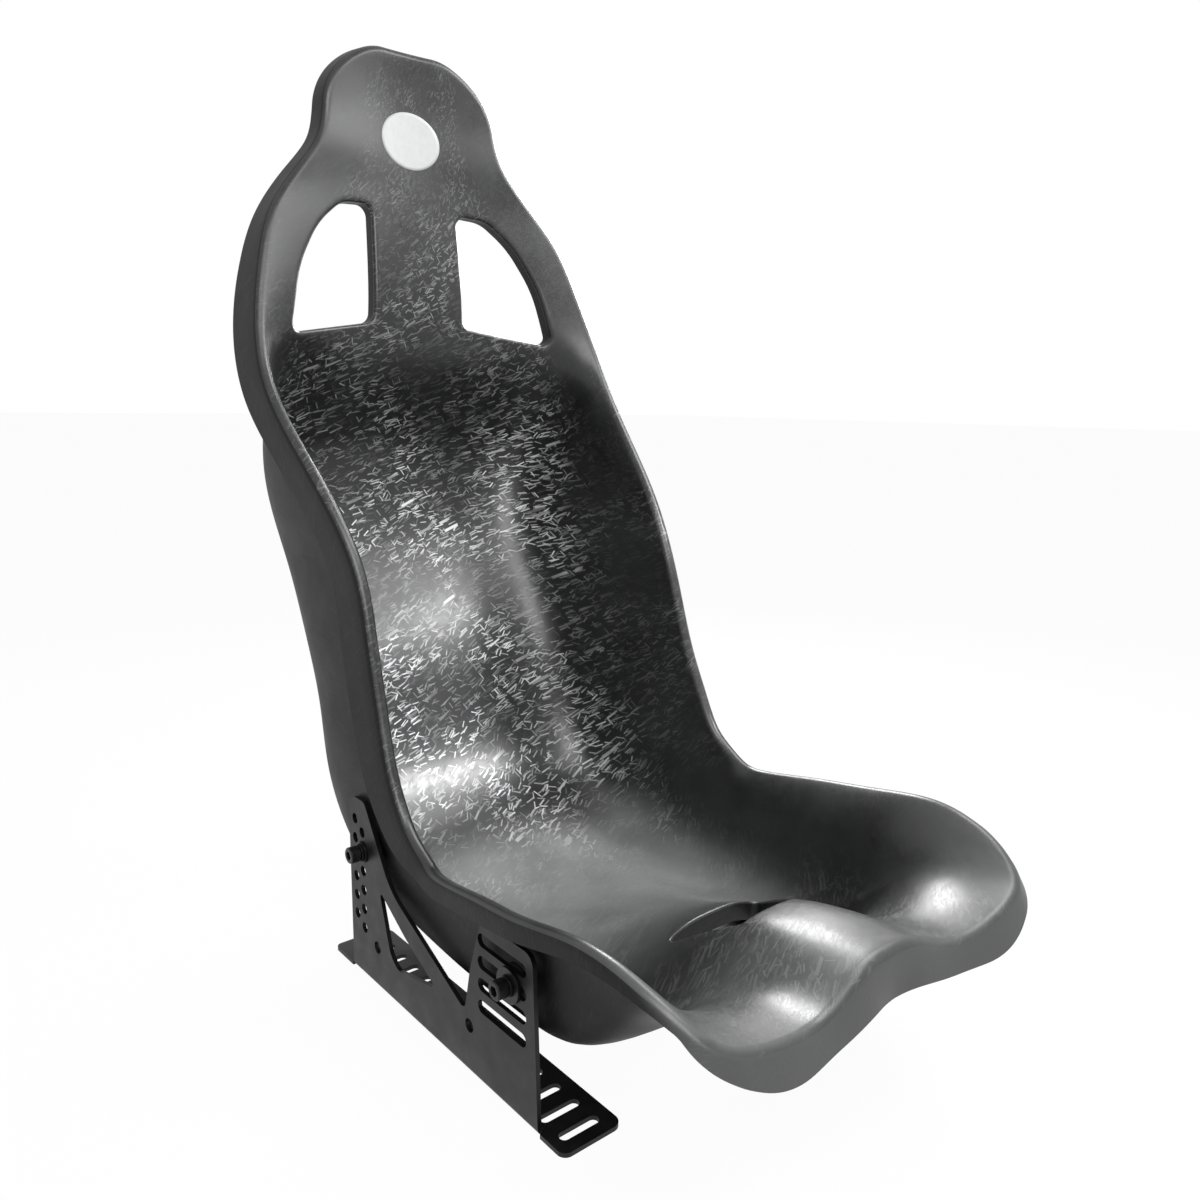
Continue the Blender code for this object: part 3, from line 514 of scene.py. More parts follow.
# ---------------- shell surface
class Spline:
    """Natural cubic splines through the columns of a table, all with the same knots."""

    def __init__(self, knots, rows):
        self.knots, self.rows = knots, rows
        gaps = np.diff(knots)
        slopes = np.diff(rows, axis=0) / gaps[:, None]
        matrix, right = np.eye(len(knots)), np.zeros_like(rows)
        for i in range(1, len(knots) - 1):
            matrix[i, i - 1:i + 2] = gaps[i - 1], 2 * (gaps[i - 1] + gaps[i]), gaps[i]
            right[i] = 6 * (slopes[i] - slopes[i - 1])
        self.bends = np.linalg.solve(matrix, right)

    def at(self, places):
        """Columns of the table read at these places."""
        i = np.clip(np.searchsorted(self.knots, places) - 1, 0, len(self.knots) - 2)
        gap = self.knots[i + 1] - self.knots[i]
        a, b = (self.knots[i + 1] - places) / gap, (places - self.knots[i]) / gap
        value = a[:, None] * self.rows[i] + b[:, None] * self.rows[i + 1]
        bend = (a ** 3 - a)[:, None] * self.bends[i] + (b ** 3 - b)[:, None] * self.bends[i + 1]
        return (value + bend * (gap ** 2)[:, None] / 6).T


MIDDLES = (SECTIONS[:, 0:2] + SECTIONS[:, 3:5]) / 2
KNOTS = np.concatenate([[0], np.cumsum(np.linalg.norm(np.diff(MIDDLES, axis=0), axis=1))])
LENGTH = float(KNOTS[-1])
SHAPE = Spline(KNOTS, SECTIONS)
LIP = Spline(FRONT_LIP[:, 0], FRONT_LIP[:, 1:])


def facing(cut):
    """Unit direction from the floor of each section to its crest, as y and z."""
    away = np.stack([cut[CREST_Y] - cut[FLOOR_Y], cut[CREST_Z] - cut[FLOOR_Z]])
    return away / np.linalg.norm(away, axis=0)


def front_share(across):
    """1 along the front edge, falling to 0 at its corners."""
    return 1 - across ** 4


def trimmed(along, across):
    """Draws the corners of the flat grid in to the round corners of the shell."""
    sign, across = np.sign(across), np.abs(across)
    for end, inward, (length, share) in ((0.0, 1, FRONT_CORNER), (LENGTH, -1, TOP_CORNER)):
        a = (across - (1 - share)) / share
        b = 1 - np.abs(along - end) / length
        round_here = (a > 0) & (b > 0)
        a, b = np.where(round_here, a, 0), np.where(round_here, b, 0)
        across = np.where(round_here, 1 - share + share * a * np.sqrt(1 - b * b / 2), across)
        along = np.where(round_here, end + inward * length * (1 - b * np.sqrt(1 - a * a / 2)),
                         along)
    lobe = np.sin(np.pi / 2 * across / LOBE_MIDDLE) ** 2
    reach = LOBE_REACH * lobe - (FRONT_RADIUS - RIM_RADIUS) * front_share(across)
    return along - reach * np.maximum(0, 1 - along / FRONT_ZONE) ** 2, sign * across


def placed(along, across):
    """Points of the sitter's side at trimmed places, and the sections they lie in."""
    cut = SHAPE.at(along)
    sign, across = np.sign(across), np.abs(across)
    depth = np.hypot(cut[CREST_Y] - cut[FLOOR_Y], cut[CREST_Z] - cut[FLOOR_Z])
    lean = np.arctan2(depth, cut[FLARE] * cut[SQUARE])
    edge_x = cut[CREST_X] - RIM_RADIUS * np.sin(lean)
    edge_depth = depth - RIM_RADIUS * (1 - np.cos(lean))
    side = np.sin(across * np.pi / 2)
    down = np.maximum(np.cos(across * np.pi / 2), 0)
    size = (side ** cut[SQUARE] + down ** cut[SQUARE]) ** (-1 / cut[SQUARE])
    rise = 1 - down * size
    x = (edge_x - cut[FLARE]) * side * size + cut[FLARE] * rise ** cut[SQUARE]
    hump = cut[HUMP] * np.exp(-(x / cut[HUMP_WIDTH]) ** HUMP_POWER)
    way = facing(cut)
    up = edge_depth * rise + hump
    points = np.stack([sign * x, cut[FLOOR_Y] + way[0] * up, cut[FLOOR_Z] + way[1] * up], axis=1)
    return points, cut


def surface(along, across):
    """Points of the sitter's side at places of the flat grid, and the sections they lie in."""
    return placed(*trimmed(np.asarray(along, float), np.asarray(across, float)))


def inward_of(edge):
    """Points a little way in from the edge, towards the centre of the corner on a corner."""
    along, across = trimmed(edge[:, 0], edge[:, 1])
    share = np.where(along < LENGTH / 2, FRONT_CORNER[1], TOP_CORNER[1])
    to_along = np.clip(along, FRONT_CORNER[0], LENGTH - TOP_CORNER[0])
    to_across = np.clip(across, share - 1, 1 - share)
    return placed(along + (to_along - along) * INWARD_STEP,
                  across + (to_across - across) * INWARD_STEP)[0]


def found_on_surface(targets, axes, start):
    """Grid places whose points have the target values on two axes, by Newton's method."""
    along = np.full(len(targets), start[0])
    across = np.clip(targets[:, 0] / 200, -0.9, 0.9) * start[1]
    step_along, step_across = NEWTON_STEPS
    for _ in range(NEWTON_ROUNDS):
        here = surface(along, across)[0][:, axes]
        by_along = (surface(along + step_along, across)[0][:, axes] - here) / step_along
        by_across = (surface(along, across + step_across)[0][:, axes] - here) / step_across
        miss = targets - here
        det = by_along[:, 0] * by_across[:, 1] - by_along[:, 1] * by_across[:, 0]
        along = along + (miss[:, 0] * by_across[:, 1] - miss[:, 1] * by_across[:, 0]) / det
        across = across + (by_along[:, 0] * miss[:, 1] - by_along[:, 1] * miss[:, 0]) / det
        across = np.clip(across, -0.98, 0.98)
    return along, across


class Opening:
    """Opening cut straight through the shell, with an edge rolled over towards the back."""

    def __init__(self, corners, axes, back, roll, depth, start):
        self.outline = resampled(rounded(corners), OUTLINE_STEP)
        self.axes, self.start = axes, start
        self.back, self.roll, self.depth = np.array(back, float), roll, depth
        rings = [1 - math.cos(math.pi / 2 * k / EDGE_STEPS) for k in range(EDGE_STEPS + 1)]
        self.loops = [spread(self.outline, roll * by) for by in rings]
        self.loops.append(spread(self.outline, roll + EDGE_MARGIN))
        self.level = surface(*self.places(self.outline))[0].mean(axis=0) @ self.back

    def places(self, outline):
        """Where an outline lies on the grid of the shell."""
        return found_on_surface(outline, self.axes, self.start)

    def near(self, points):
        """True on this opening's own side of the shell."""
        return np.abs(points @ self.back - self.level) < SAME_SIDE

    def distance(self, points):
        """Distance of each point from the opening as its outline is drawn."""
        return distance_to(self.outline, points[:, self.axes])

    def sink(self, points):
        """How far the rolled edge takes each point back."""
        inside = np.clip(self.roll - np.maximum(self.distance(points), 0), 0, self.roll)
        sunk = self.roll - np.sqrt(np.maximum(self.roll ** 2 - inside ** 2, 0))
        return np.where(self.near(points), sunk, 0)


def shell_openings():
    """The two harness openings and the opening for the strap between the legs."""
    harness = [Opening([(side * x, z, r) for x, z, r in HARNESS], [0, 2], (0, 1, 0), EDGE_ROLL,
                       EDGE_RETURN, HARNESS_START) for side in (1, -1)]
    return harness + [Opening(STRAP, [0, 1], (0, 0, -1), STRAP_ROLL, STRAP_RETURN, STRAP_START)]


def perimeter():
    """Grid places round the edge of the dish, and those inside it."""
    rows, columns = round(LENGTH / GRID_STEP), round(2 * HALF_GIRTH / GRID_STEP)
    acrosses = np.linspace(-1, 1, columns + 1)
    alongs = np.linspace(0, LENGTH, rows + 1)
    places = [(0, v) for v in acrosses[:-1]] + [(u, 1) for u in alongs[:-1]]
    places += [(LENGTH, v) for v in acrosses[:0:-1]] + [(u, -1) for u in alongs[:0:-1]]
    return np.array(places, float), np.array([(u, v) for u in alongs[1:-1]
                                              for v in acrosses[1:-1]])


def clear_of(openings, inner):
    """Inner grid places that lie outside the openings and their rolled edges."""
    points = surface(inner[:, 0], inner[:, 1])[0]
    keep = np.ones(len(inner), bool)
    for opening in openings:
        room = opening.roll + EDGE_MARGIN + CLEAR
        keep &= (opening.distance(points) > room) | ~opening.near(points)
    return inner[keep]


def flat_map(edge, inner, openings):
    """Places of the flat grid, the edges its triangles must follow, and each opening's rim."""
    flat = [edge, inner]
    fixed = [(k, (k + 1) % len(edge)) for k in range(len(edge))]
    start, rims = len(edge) + len(inner), []
    for opening in openings:
        for loop in opening.loops:
            flat.append(np.stack(opening.places(loop), axis=1))
            count = len(loop)
            if loop is opening.loops[0]:
                rims.append(range(start, start + count))
            fixed += [(start + k, start + (k + 1) % count) for k in range(count)]
            start += count
    return np.concatenate(flat) * (1, HALF_GIRTH), fixed, rims


def dish_mesh():
    """Triangles of the dish, whose edges follow the openings, with the edges of each."""
    openings = shell_openings()
    edge, inner = perimeter()
    flat, fixed, rims = flat_map(edge, clear_of(openings, inner), openings)
    verts, _, faces, source, _, _ = delaunay_2d_cdt([Vector(p) for p in flat], fixed, [], 0, 1e-4)
    flat = np.array([tuple(v) for v in verts])
    new_index = {old: new for new, olds in enumerate(source) for old in olds}
    rims = [[new_index[k] for k in rim] for rim in rims]
    border = [new_index[k] for k in range(len(edge))]
    points = surface(flat[:, 0], flat[:, 1] / HALF_GIRTH)[0]
    faces = np.array([f for f in faces if len(f) == 3])
    middles = points[faces].mean(axis=1)
    solid = np.ones(len(faces), bool)
    for opening in openings:
        solid &= ~((opening.distance(middles) < 0) & opening.near(middles))
        points = points + opening.sink(points)[:, None] * opening.back
    return points, flat * MM, faces[solid], edge, border, list(zip(openings, rims))


def along_edge(values, vectors):
    """Unit vectors squared to the tangents of the edge."""
    vectors = vectors - values * np.sum(vectors * values, axis=1)[:, None]
    return vectors / np.linalg.norm(vectors, axis=1)[:, None]


def rim_profile(edge, cut):
    """Radius of the rolled rim, and length and slope of its flange, at each edge place."""
    along, across = edge[:, 0], np.abs(edge[:, 1])
    front = along == 0
    radius = RIM_RADIUS + np.where(front, (FRONT_RADIUS - RIM_RADIUS) * front_share(across), 0)
    lip_length, lip_splay = LIP.at(across)
    fade = np.maximum(0, 1 - along / LIP_FADE)
    side_splay = RIM_SPLAY + (FRONT_LIP[-1, 2] - RIM_SPLAY) * fade
    return radius, np.where(front, lip_length, cut[FLANGE]), np.where(front, lip_splay, side_splay)


def rim_rows(edge, points, border):
    """Rows of points outside the edge, each with its distance from the edge along the rim."""
    cut = surface(edge[:, 0], edge[:, 1])[1]
    radius, length, splay = (column[:, None] for column in rim_profile(edge, cut))
    here = points[border]
    tangent = np.roll(here, -1, axis=0) - np.roll(here, 1, axis=0)
    tangent /= np.linalg.norm(tangent, axis=1)[:, None]
    outward = along_edge(tangent, here - inward_of(edge))
    normal = np.cross(outward, tangent)
    back = np.zeros_like(here)
    back[:, 1:] = -facing(cut).T
    away = along_edge(tangent, back + along_edge(back, outward) * splay)
    turn = np.arctan2(-np.sum(away * normal, axis=1), np.sum(away * outward, axis=1))[:, None]
    centre = here - normal * radius
    rows = []
    for step in range(1, ROLL_STEPS + 1):
        angle = turn * step / ROLL_STEPS
        rows.append((centre + (normal * np.cos(angle) + outward * np.sin(angle)) * radius,
                     radius * angle))
    start, so_far = rows[-1]
    for step in range(1, FLANGE_STEPS + 1):
        reach = length * step / FLANGE_STEPS
        rows.append((start + away * reach, so_far + reach))
    return rows


class ShellMesh:
    """Surface of the sitter's side under construction, with the flat place of each vertex."""

    def __init__(self):
        self.bm = bmesh.new()
        self.flat = {}

    def add(self, points, flat):
        """New vertices at these points, with their places on the flat map."""
        made = []
        for point, place in zip(points, flat):
            vert = self.bm.verts.new((Vector(point) + Vector((0, ORIGIN_Y, 0))) * MM)
            self.flat[vert] = Vector(place)
            made.append(vert)
        return made

    def skirt(self, ring, rows, flats, satin_from):
        """Closed strips of faces out from a ring, with the satin finish from one of the rows."""
        for number, (row, flat) in enumerate(zip(rows, flats)):
            outer = self.add(row, flat)
            for k in range(len(ring)):
                n = (k + 1) % len(ring)
                face = self.bm.faces.new((ring[k], outer[k], outer[n], ring[n]))
                face.material_index = int(number >= satin_from)
            ring = outer

    def finished(self, name):
        """The mesh with its normals to the sitter and its flat map as a UV layer."""
        bm = self.bm
        bmesh.ops.delete(bm, geom=[v for v in bm.verts if not v.link_faces], context="VERTS")
        bmesh.ops.recalc_face_normals(bm, faces=bm.faces)
        pan = max(bm.faces, key=lambda f: f.normal.z ** 2 * (abs(f.calc_center_median().x) < 0.05))
        if pan.normal.z < 0:
            bmesh.ops.reverse_faces(bm, faces=bm.faces)
        layer = bm.loops.layers.uv.new("flat")
        for face in bm.faces:
            face.smooth = True
            for loop in face.loops:
                loop[layer].uv = self.flat[loop.vert]
        return mesh_of(bm, name)


def outward_on_map(places):
    """Unit steps out of a closed outline on the flat map."""
    along = np.roll(places, -1, axis=0) - np.roll(places, 1, axis=0)
    step = np.stack([along[:, 1], -along[:, 0]], axis=1)
    return step / (np.linalg.norm(step, axis=1)[:, None] + 1e-12)


def turn_lip(shell, opening, ring, rim_points, rim_flat):
    """Turns the edge of an opening back through the wall."""
    shares = [k / RETURN_STEPS for k in range(1, RETURN_STEPS + 1)]
    into = rim_flat.mean(axis=0) - rim_flat
    into /= np.linalg.norm(into, axis=1)[:, None]
    shell.skirt(ring, [rim_points + opening.back * opening.depth * share for share in shares],
                [rim_flat + into * opening.depth * share * MM for share in shares], 0)


def shell_mesh():
    """The sitter's side of the shell with its rim and the lips of its openings."""
    points, flat, faces, edge, border, openings = dish_mesh()
    shell = ShellMesh()
    dish = shell.add(points, flat)
    for face in faces:
        shell.bm.faces.new([dish[k] for k in face])
    rows = rim_rows(edge, points, border)
    out = outward_on_map(flat[border])
    shell.skirt([dish[k] for k in border], [row for row, _ in rows],
                [flat[border] - out * reach * MM for _, reach in rows], SATIN_FROM)
    for opening, rim in openings:
        turn_lip(shell, opening, [dish[k] for k in rim], points[rim], flat[rim])
    return shell.finished("shell_fine")


def build_shell(inside, outside):
    """The shell with its wall, glossy on the sitter's side and satin outside."""
    made = add_object("shell_fine", shell_mesh(), inside, outside)
    solid = made.modifiers.new("wall", "SOLIDIFY")
    solid.thickness = WALL * MM
    solid.offset = -1.0
    solid.use_even_offset = False
    solid.material_offset = 1
    solid.material_offset_rim = 1
    soften(made, *SHELL_SOFT)
    return made


def linked(name, data):
    """New object in the scene."""
    made = bpy.data.objects.new(name, data)
    bpy.context.scene.collection.objects.link(made)
    return made


def add_object(name, mesh, *finishes):
    """Object in the scene with these materials and smooth shading."""
    made = linked(name, mesh)
    for finish in finishes:
        mesh.materials.append(finish)
    for polygon in mesh.polygons:
        polygon.use_smooth = True
    return made


def mesh_of(bm, name):
    """Mesh of what was built, whose workspace is then given up."""
    mesh = bpy.data.meshes.new(name)
    bm.to_mesh(mesh)
    bm.free()
    return mesh


def soften(thing, width, segments, angle):
    """Rounds every edge sharper than an angle in degrees."""
    step = thing.modifiers.new("edges", "BEVEL")
    step.width = width * MM
    step.segments = segments
    step.limit_method = "ANGLE"
    step.angle_limit = math.radians(angle)
    step.harden_normals = True


# ---------------- brackets
def flat_plate(name, outlines, thickness):
    """Mesh of a flat plate: the first outline is its edge, and the others are holes in it."""
    curve = bpy.data.curves.new(name, "CURVE")
    curve.dimensions = "2D"
    curve.fill_mode = "BOTH"
    curve.extrude = thickness * MM / 2
    for outline in outlines:
        path = curve.splines.new("POLY")
        path.points.add(len(outline) - 1)
        path.use_cyclic_u = True
        for point, (u, v) in zip(path.points, outline):
            point.co = (u * MM, v * MM, 0, 1)
    holder = linked(name, curve)
    evaluated = holder.evaluated_get(bpy.context.evaluated_depsgraph_get())
    mesh = bpy.data.meshes.new_from_object(evaluated)
    bpy.data.objects.remove(holder)
    bpy.data.curves.remove(curve)
    return mesh


def bracket_outlines(bend_top, bend_end):
    """Edge and holes of the flat blank: y along the seat, w up the plate from the floor."""
    outer = bend_end + bend_top
    base_edge = outer - BASE_REACH
    edge = rounded([
        (BASE_REAR, base_edge, 14), (BASE_REAR, outer, 6), (PLATE_REAR + RELIEF, outer, 1),
        (PLATE_REAR + RELIEF, bend_end, 0.5), (PLATE_REAR, bend_end, 0.5),
        (PLATE_REAR, COLUMN_TOP, 15), *COLUMN_FOOT, (UPRIGHT_REAR, UPRIGHT_TOP, 6),
        (PLATE_FRONT + 8, UPRIGHT_TOP, 11), (PLATE_FRONT, bend_end, 0.5),
        (PLATE_FRONT - RELIEF, bend_end, 0.5), (PLATE_FRONT - RELIEF, outer, 1),
        (BASE_FRONT, outer, 8), (BASE_FRONT, base_edge, 9)])
    holes = [circle(y, top - HOLE_PITCH * k, BOLT_HOLE, HOLE_SIDES)
             for y, top in COLUMN_HOLES for k in range(HOLES_PER_COLUMN)]
    holes += [slot((SLOT_REAR, SLOT_TOP - HOLE_PITCH * k), (SLOT_FRONT, SLOT_TOP - HOLE_PITCH * k),
                   SLOT_WIDTH) for k in range(SLOTS)]
    holes += [circle(y, z, LIGHTENING_HOLE, HOLE_SIDES) for y, z in LIGHTENING_HOLES]
    holes.append(rounded(WINDOW))
    near, far = (outer - reach for reach in BASE_SLOT)
    for k in range(BASE_SLOTS):
        for y in (BASE_REAR - SLOT_MARGIN["rear"] - BASE_SLOT_PITCH * k,
                  BASE_FRONT + SLOT_MARGIN["front"] + BASE_SLOT_PITCH * k):
            holes.append(slot((y, near), (y, far), BASE_SLOT_WIDTH))
    return [edge] + holes


def fold(bm, side, bend_top, bend_end):
    """Bends the flat blank into an upright plate and a base turned in under the seat."""
    for k in range(BEND_STEPS + 1):
        w = bend_top + (bend_end - bend_top) * k / BEND_STEPS
        geometry = bm.verts[:] + bm.edges[:] + bm.faces[:]
        bmesh.ops.bisect_plane(bm, geom=geometry, plane_co=(0, w * MM, 0), plane_no=(0, 1, 0),
                               dist=1e-6)
    neutral, outside = BEND_INSIDE + PLATE / 2, BEND_INSIDE + PLATE
    for vert in bm.verts:
        y, w, depth = vert.co.x / MM, vert.co.y / MM, PLATE / 2 - vert.co.z / MM
        in_plate = PLATE_FRONT - RELIEF / 2 < y < PLATE_REAR + RELIEF / 2
        if w <= bend_end or not in_plate:
            x, z = FACE_X - outside - (bend_end - w), depth
        elif w >= bend_top:
            x, z = FACE_X - depth, w
        else:
            angle = (bend_top - w) / neutral
            x = FACE_X - outside + (outside - depth) * math.cos(angle)
            z = outside - (outside - depth) * math.sin(angle)
        vert.co = Vector((side * x, y + ORIGIN_Y, z)) * MM


def build_bracket(name, side, finish):
    """One bracket, cut flat and folded."""
    bend_top = BEND_INSIDE + PLATE
    bend_end = bend_top - (BEND_INSIDE + PLATE / 2) * math.pi / 2
    mesh = flat_plate(name, bracket_outlines(bend_top, bend_end), PLATE)
    bm = bmesh.new()
    bm.from_mesh(mesh)
    bmesh.ops.remove_doubles(bm, verts=bm.verts, dist=1e-6)
    fold(bm, side, bend_top, bend_end)
    if bm.calc_volume(signed=True) < 0:
        bmesh.ops.reverse_faces(bm, faces=bm.faces)
    bmesh.ops.dissolve_limit(bm, angle_limit=math.radians(1), verts=bm.verts, edges=bm.edges)
    bm.to_mesh(mesh)
    bm.free()
    mesh.materials.clear()
    bracket = add_object(name, mesh, finish)
    soften(bracket, *PLATE_SOFT)
    return bracket


# ---------------- fixings
def turned(name, profile, x, axis, finish, closed=False, split=0.0):
    """Solid of revolution on an axis along X, given as its side, y and z. The profile is (radius,
    distance outward). A split one is cut open, and rises by that much from end to end."""
    side, y, z = axis
    bm, rings = bmesh.new(), []
    for k in range(ROUND_SIDES):
        angle = 2 * math.pi * k / ROUND_SIDES
        lift = split * k / ROUND_SIDES
        rings.append([bm.verts.new((side * (x + h + lift) * MM,
                                    (y + ORIGIN_Y + r * math.cos(angle)) * MM,
                                    (z + r * math.sin(angle)) * MM)) for r, h in profile])
    last = len(profile) if closed else len(profile) - 1
    for k in range(ROUND_SIDES - 1 if split else ROUND_SIDES):
        a, b = rings[k], rings[(k + 1) % ROUND_SIDES]
        for i in range(last):
            n = (i + 1) % len(profile)
            bm.faces.new((a[i], a[n], b[n], b[i]))
    if split:
        bm.faces.new(rings[0])
        bm.faces.new(rings[-1])
    bmesh.ops.remove_doubles(bm, verts=bm.verts, dist=1e-7)
    bmesh.ops.recalc_face_normals(bm, faces=bm.faces)
    made = add_object(name, mesh_of(bm, name), finish)
    soften(made, *TURNED_SOFT)
    return made


def turned_ring(name, diameter, thickness, x, axis, finish, split=0.0):
    """Washer or sleeve with the bore of the joints."""
    profile = [(BORE / 2, thickness), (diameter / 2, thickness), (diameter / 2, 0), (BORE / 2, 0)]
    return turned(name, profile, x, axis, finish, closed=True, split=split)


def hexagon_cut(screw, x, axis):
    """Sinks the hexagon socket into the head of a screw."""
    side, y, z = axis
    bm = bmesh.new()
    radius = HEX / math.cos(math.pi / 6) / 2
    bmesh.ops.create_cone(bm, cap_ends=True, segments=6, radius1=radius * MM,
                          radius2=radius * MM, depth=2 * HEX_DEPTH * MM)
    mesh = mesh_of(bm, "socket")
    mesh.transform(Matrix.Translation(Vector((side * x, y + ORIGIN_Y, z)) * MM)
                   @ Matrix.Rotation(math.pi / 2, 4, "Y"))
    tool = linked("socket", mesh)
    cut = screw.modifiers.new("socket", "BOOLEAN")
    cut.operation = "DIFFERENCE"
    cut.object = tool
    with bpy.context.temp_override(object=screw, active_object=screw):
        bpy.ops.object.modifier_move_to_index(modifier="socket", index=0)
        bpy.ops.object.modifier_apply(modifier="socket")
    bpy.data.objects.remove(tool)


def wall_reach(tree, y, z, radius):
    """How far out the inner face of a side wall gets, within a radius of a point."""
    reach = 0.0
    for k in range(8):
        angle = math.pi * k / 4
        start = (0, y + ORIGIN_Y + radius * math.cos(angle), z + radius * math.sin(angle))
        hit = tree.ray_cast(Vector(start) * MM, Vector((1, 0, 0)))[0]
        if hit:
            reach = max(reach, hit.x / MM)
    return reach


def build_screw(tag, x, shank, axis, finish):
    """Socket-head screw whose head bears on the spring washer at x."""
    head, body, chamfer = HEAD / 2, SCREW / 2, HEAD_CHAMFER
    screw = turned(f"fine_screw_{tag}",
                   [(0, HEAD_HEIGHT), (head - chamfer, HEAD_HEIGHT), (head, HEAD_HEIGHT - chamfer),
                    (head, HEAD_FOOT), (head - HEAD_FOOT, 0), (body, 0), (body, chamfer - shank),
                    (body - chamfer, -shank), (0, -shank)], x, axis, finish)
    hexagon_cut(screw, x + HEAD_HEIGHT, axis)
    return screw


def build_pad(tag, wall_x, insert_end, axis, finish):
    """Pad moulded onto the side wall, with a pocket for its insert."""
    hole, pocket = INSERT_HOLE / 2, (insert_end - PAD_FACE) / 2
    deep, radius = PAD_FACE - wall_x - WALL / 2, PAD / 2
    return turned(f"pad_{tag}",
                  [(0, -deep), (radius, -deep), (radius, -PAD_CHAMFER), (radius - PAD_CHAMFER, 0),
                   (hole, 0), (hole, pocket), (0, pocket)], PAD_FACE, axis, finish)


def build_fixing(place, name, side, tree, finishes):
    """One bolted joint: washer, spring washer, screw, insert, and the pad moulded round it."""
    y, z = FIXINGS[place]
    axis, tag = (side, y, z), f"{place}_{name}"
    steel, zinc = finishes["steel"], finishes["zinc"]
    diameter, thick = WASHERS[place]
    washer_x = FACE_X + GAP
    spring_x = washer_x + thick + GAP
    head_x = spring_x + SPRING_THICK + GAP
    insert_end = max(PAD_FACE - INSERT_LENGTH, wall_reach(tree, y, z, INSERT / 2) + INSERT_COVER)
    made = {"washer": turned_ring(f"fine_washer_{tag}", diameter, thick, washer_x, axis, steel),
            "spring_washer": turned_ring(f"fine_spring_washer_{tag}", SPRING,
                                         SPRING_THICK - SPRING_SPLIT, spring_x, axis, steel,
                                         SPRING_SPLIT),
            "screw": build_screw(tag, head_x, head_x - insert_end - SCREW_SHORT, axis, steel),
            "insert": turned_ring(f"fine_insert_{tag}", INSERT, PAD_FACE - insert_end, insert_end,
                                  axis, zinc)}
    for node, piece in made.items():
        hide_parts(f"{node}_{tag}")
    pad = build_pad(tag, wall_reach(tree, y, z, PAD / 2), insert_end, axis, finishes["outside"])
    return [*made.values(), pad]


def disc_points():
    """Rings of points of the blank disc, which lies on the head."""
    targets = []
    for ring in range(DISC_RINGS + 1):
        share = ring / DISC_RINGS
        for k in range(DISC_SIDES):
            angle = 2 * math.pi * k / DISC_SIDES
            targets.append((share * DISC_HALF[0] * math.cos(angle) + OFF_MIDDLE,
                            DISC_CENTRE_Z + share * DISC_HALF[1] * math.sin(angle)))
    middle = found_on_surface(np.array([[0.0, DISC_CENTRE_Z]]), [0, 2], DISC_START)[0]
    places = found_on_surface(np.array(targets), [0, 2], (float(middle[0]), DISC_START[1]))
    points = surface(*places)[0]
    points[:, 1] += ORIGIN_Y - FILM
    return points.reshape(DISC_RINGS + 1, DISC_SIDES, 3) * MM


def build_disc(finish):
    """Blank disc on the head."""
    bm = bmesh.new()
    rows = [[bm.verts.new(p) for p in ring] for ring in disc_points()]
    for a, b in zip(rows, rows[1:]):
        for k in range(DISC_SIDES):
            n = (k + 1) % DISC_SIDES
            bm.faces.new((a[k], b[k], b[n], a[n]))
    bmesh.ops.remove_doubles(bm, verts=bm.verts, dist=1e-6)
    bmesh.ops.recalc_face_normals(bm, faces=bm.faces)
    if sum(f.normal.y for f in bm.faces) > 0:
        bmesh.ops.reverse_faces(bm, faces=bm.faces)
    disc = add_object("blank_disc", mesh_of(bm, "blank_disc"), finish)
    solid = disc.modifiers.new("film", "SOLIDIFY")
    solid.thickness = FILM_THICK * MM
    solid.offset = -1.0
    return disc


# ---------------- stage
def build_camera():
    """Camera of the photograph."""
    yaw, pitch, roll = (math.radians(a) for a in (CAMERA_YAW, CAMERA_PITCH, CAMERA_ROLL))
    ahead = Vector((math.sin(yaw) * math.cos(pitch), math.cos(yaw) * math.cos(pitch),
                    -math.sin(pitch)))
    right = Vector((math.cos(yaw), -math.sin(yaw), 0))
    up = right.cross(ahead)
    tilted_right = right * math.cos(roll) + up * math.sin(roll)
    tilted_up = up * math.cos(roll) - right * math.sin(roll)
    data = bpy.data.cameras.new("camera")
    data.sensor_width = 36.0
    data.sensor_fit = "HORIZONTAL"
    data.lens = FOCAL
    data.clip_start = 0.05
    camera = linked("camera", data)
    camera.matrix_world = Matrix((tilted_right, tilted_up, -ahead)).transposed().to_4x4()
    camera.location = CAMERA_AT
    bpy.context.scene.camera = camera


def area_light(name, at, aim, size, power, spread):
    """Rectangular lamp that the camera doesn't see."""
    data = bpy.data.lights.new(name, "AREA")
    data.shape = "RECTANGLE"
    data.size, data.size_y = size
    data.energy = power
    data.spread = math.radians(spread)
    lamp = linked(name, data)
    lamp.visible_camera = False
    lamp.location = at
    lamp.rotation_euler = (Vector(aim) - Vector(at)).to_track_quat("-Z", "Y").to_euler()


def show_backdrop(nodes, share, lit, backdrop, end):
    """The backdrop for camera, mirror and glass rays, by a share, and the lit shader otherwise."""
    path = nodes.add("ShaderNodeLightPath").outputs
    seen = nodes.math("MAXIMUM", path["Is Camera Ray"], path["Is Glossy Ray"])
    seen = nodes.math("MAXIMUM", seen, path["Is Transmission Ray"])
    mix = nodes.add("ShaderNodeMixShader",
                    {0: nodes.math("MULTIPLY", seen, share), 1: lit, 2: backdrop})
    nodes.feed(nodes.tree.nodes[end].inputs["Surface"], mix.outputs[0])


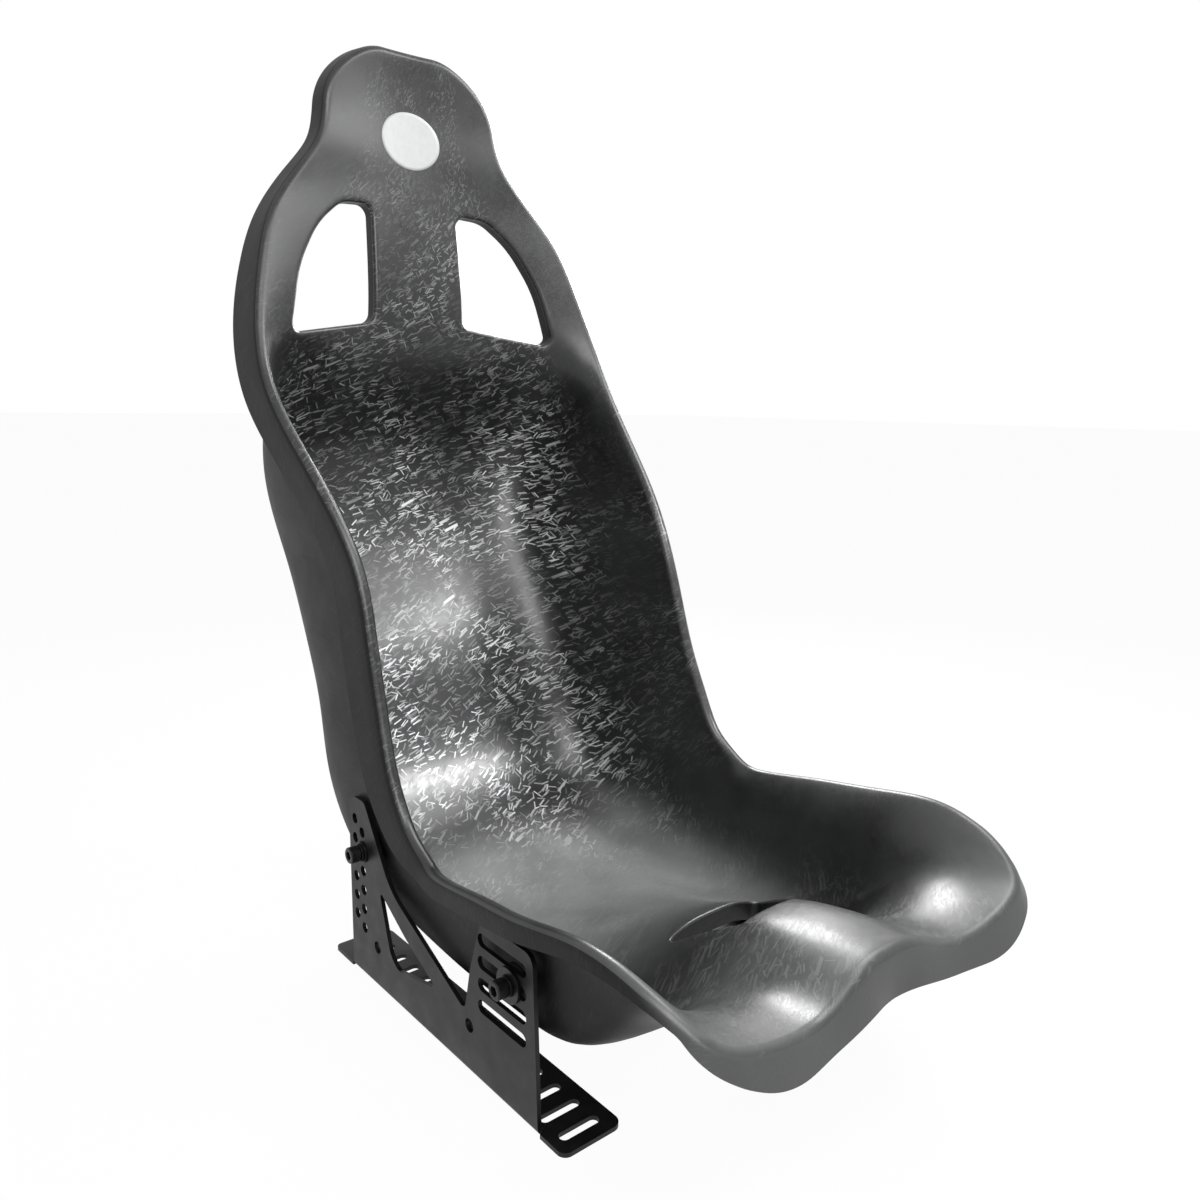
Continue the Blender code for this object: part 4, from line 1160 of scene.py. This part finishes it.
def build_world():
    """Soft light on the seat, and white for what looks past it."""
    world = bpy.data.worlds.new("studio")
    bpy.context.scene.world = world
    nodes = Nodes(world)
    soft = nodes.tree.nodes["Background"]
    nodes.feed(soft.inputs["Color"], WHITE)
    nodes.feed(soft.inputs["Strength"], SOFT_LIGHT)
    white = nodes.add("ShaderNodeBackground", {"Color": WHITE, "Strength": 1.0})
    show_backdrop(nodes, 1.0, soft.outputs[0], white.outputs[0], "World Output")


def build_floor():
    """White floor that keeps the seat's shadow."""
    mesh = bpy.data.meshes.new("floor")
    mesh.from_pydata([(x * FLOOR_REACH, y * FLOOR_REACH, 0)
                      for x, y in ((-1, -1), (1, -1), (1, 1), (-1, 1))], [], [(0, 1, 2, 3)])
    nodes = new_material("floor")
    nodes.set(Base_Color=(0.9, 0.9, 0.9, 1), Roughness=0.9, Specular_IOR_Level=0.0)
    glow = nodes.add("ShaderNodeEmission")
    show_backdrop(nodes, FLOOR_GLOW, nodes.shader.outputs[0], glow.outputs[0], "Material Output")
    floor = add_object("floor", mesh, nodes.owner)
    floor.location.z = -FLOOR_DROP


# ---------------- everything together
def build_side(name, side, tree, finishes):
    """The bracket of one side with its bolted joints."""
    bracket = build_bracket(f"fine_bracket_{name}", side, finishes["powder"])
    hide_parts(f"bracket_{name}")
    pieces = [bracket]
    for place in FIXINGS:
        pieces += build_fixing(place, name, side, tree, finishes)
    return pieces


def main():
    """Builds the stage and the seat, and tells the frame what each piece stands for."""
    build_camera()
    build_world()
    build_floor()
    for name, settings in LAMPS.items():
        area_light(name, *settings)
    finishes = {"outside": laminate_back_material(), "powder": powder_coat_material(),
                "steel": steel_material("black_steel", *BLACK_STEEL),
                "zinc": steel_material("zinc_steel", *ZINC_STEEL)}
    shell = build_shell(laminate_material(), finishes["outside"])
    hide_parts("shell")
    tree = BVHTree.FromPolygons([v.co for v in shell.data.vertices],
                                [p.vertices for p in shell.data.polygons])
    sides = build_side("left", 1, tree, finishes) + build_side("right", -1, tree, finishes)
    disc = build_disc(disc_material())
    for piece in [shell, *sides, disc]:
        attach(piece, "root")
    nylon = nylon_material()
    for node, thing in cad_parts.items():
        if node.startswith("spacer"):
            for finish_slot in thing.material_slots:
                finish_slot.material = nylon
    bpy.context.scene.view_settings.view_transform = "Standard"


main()
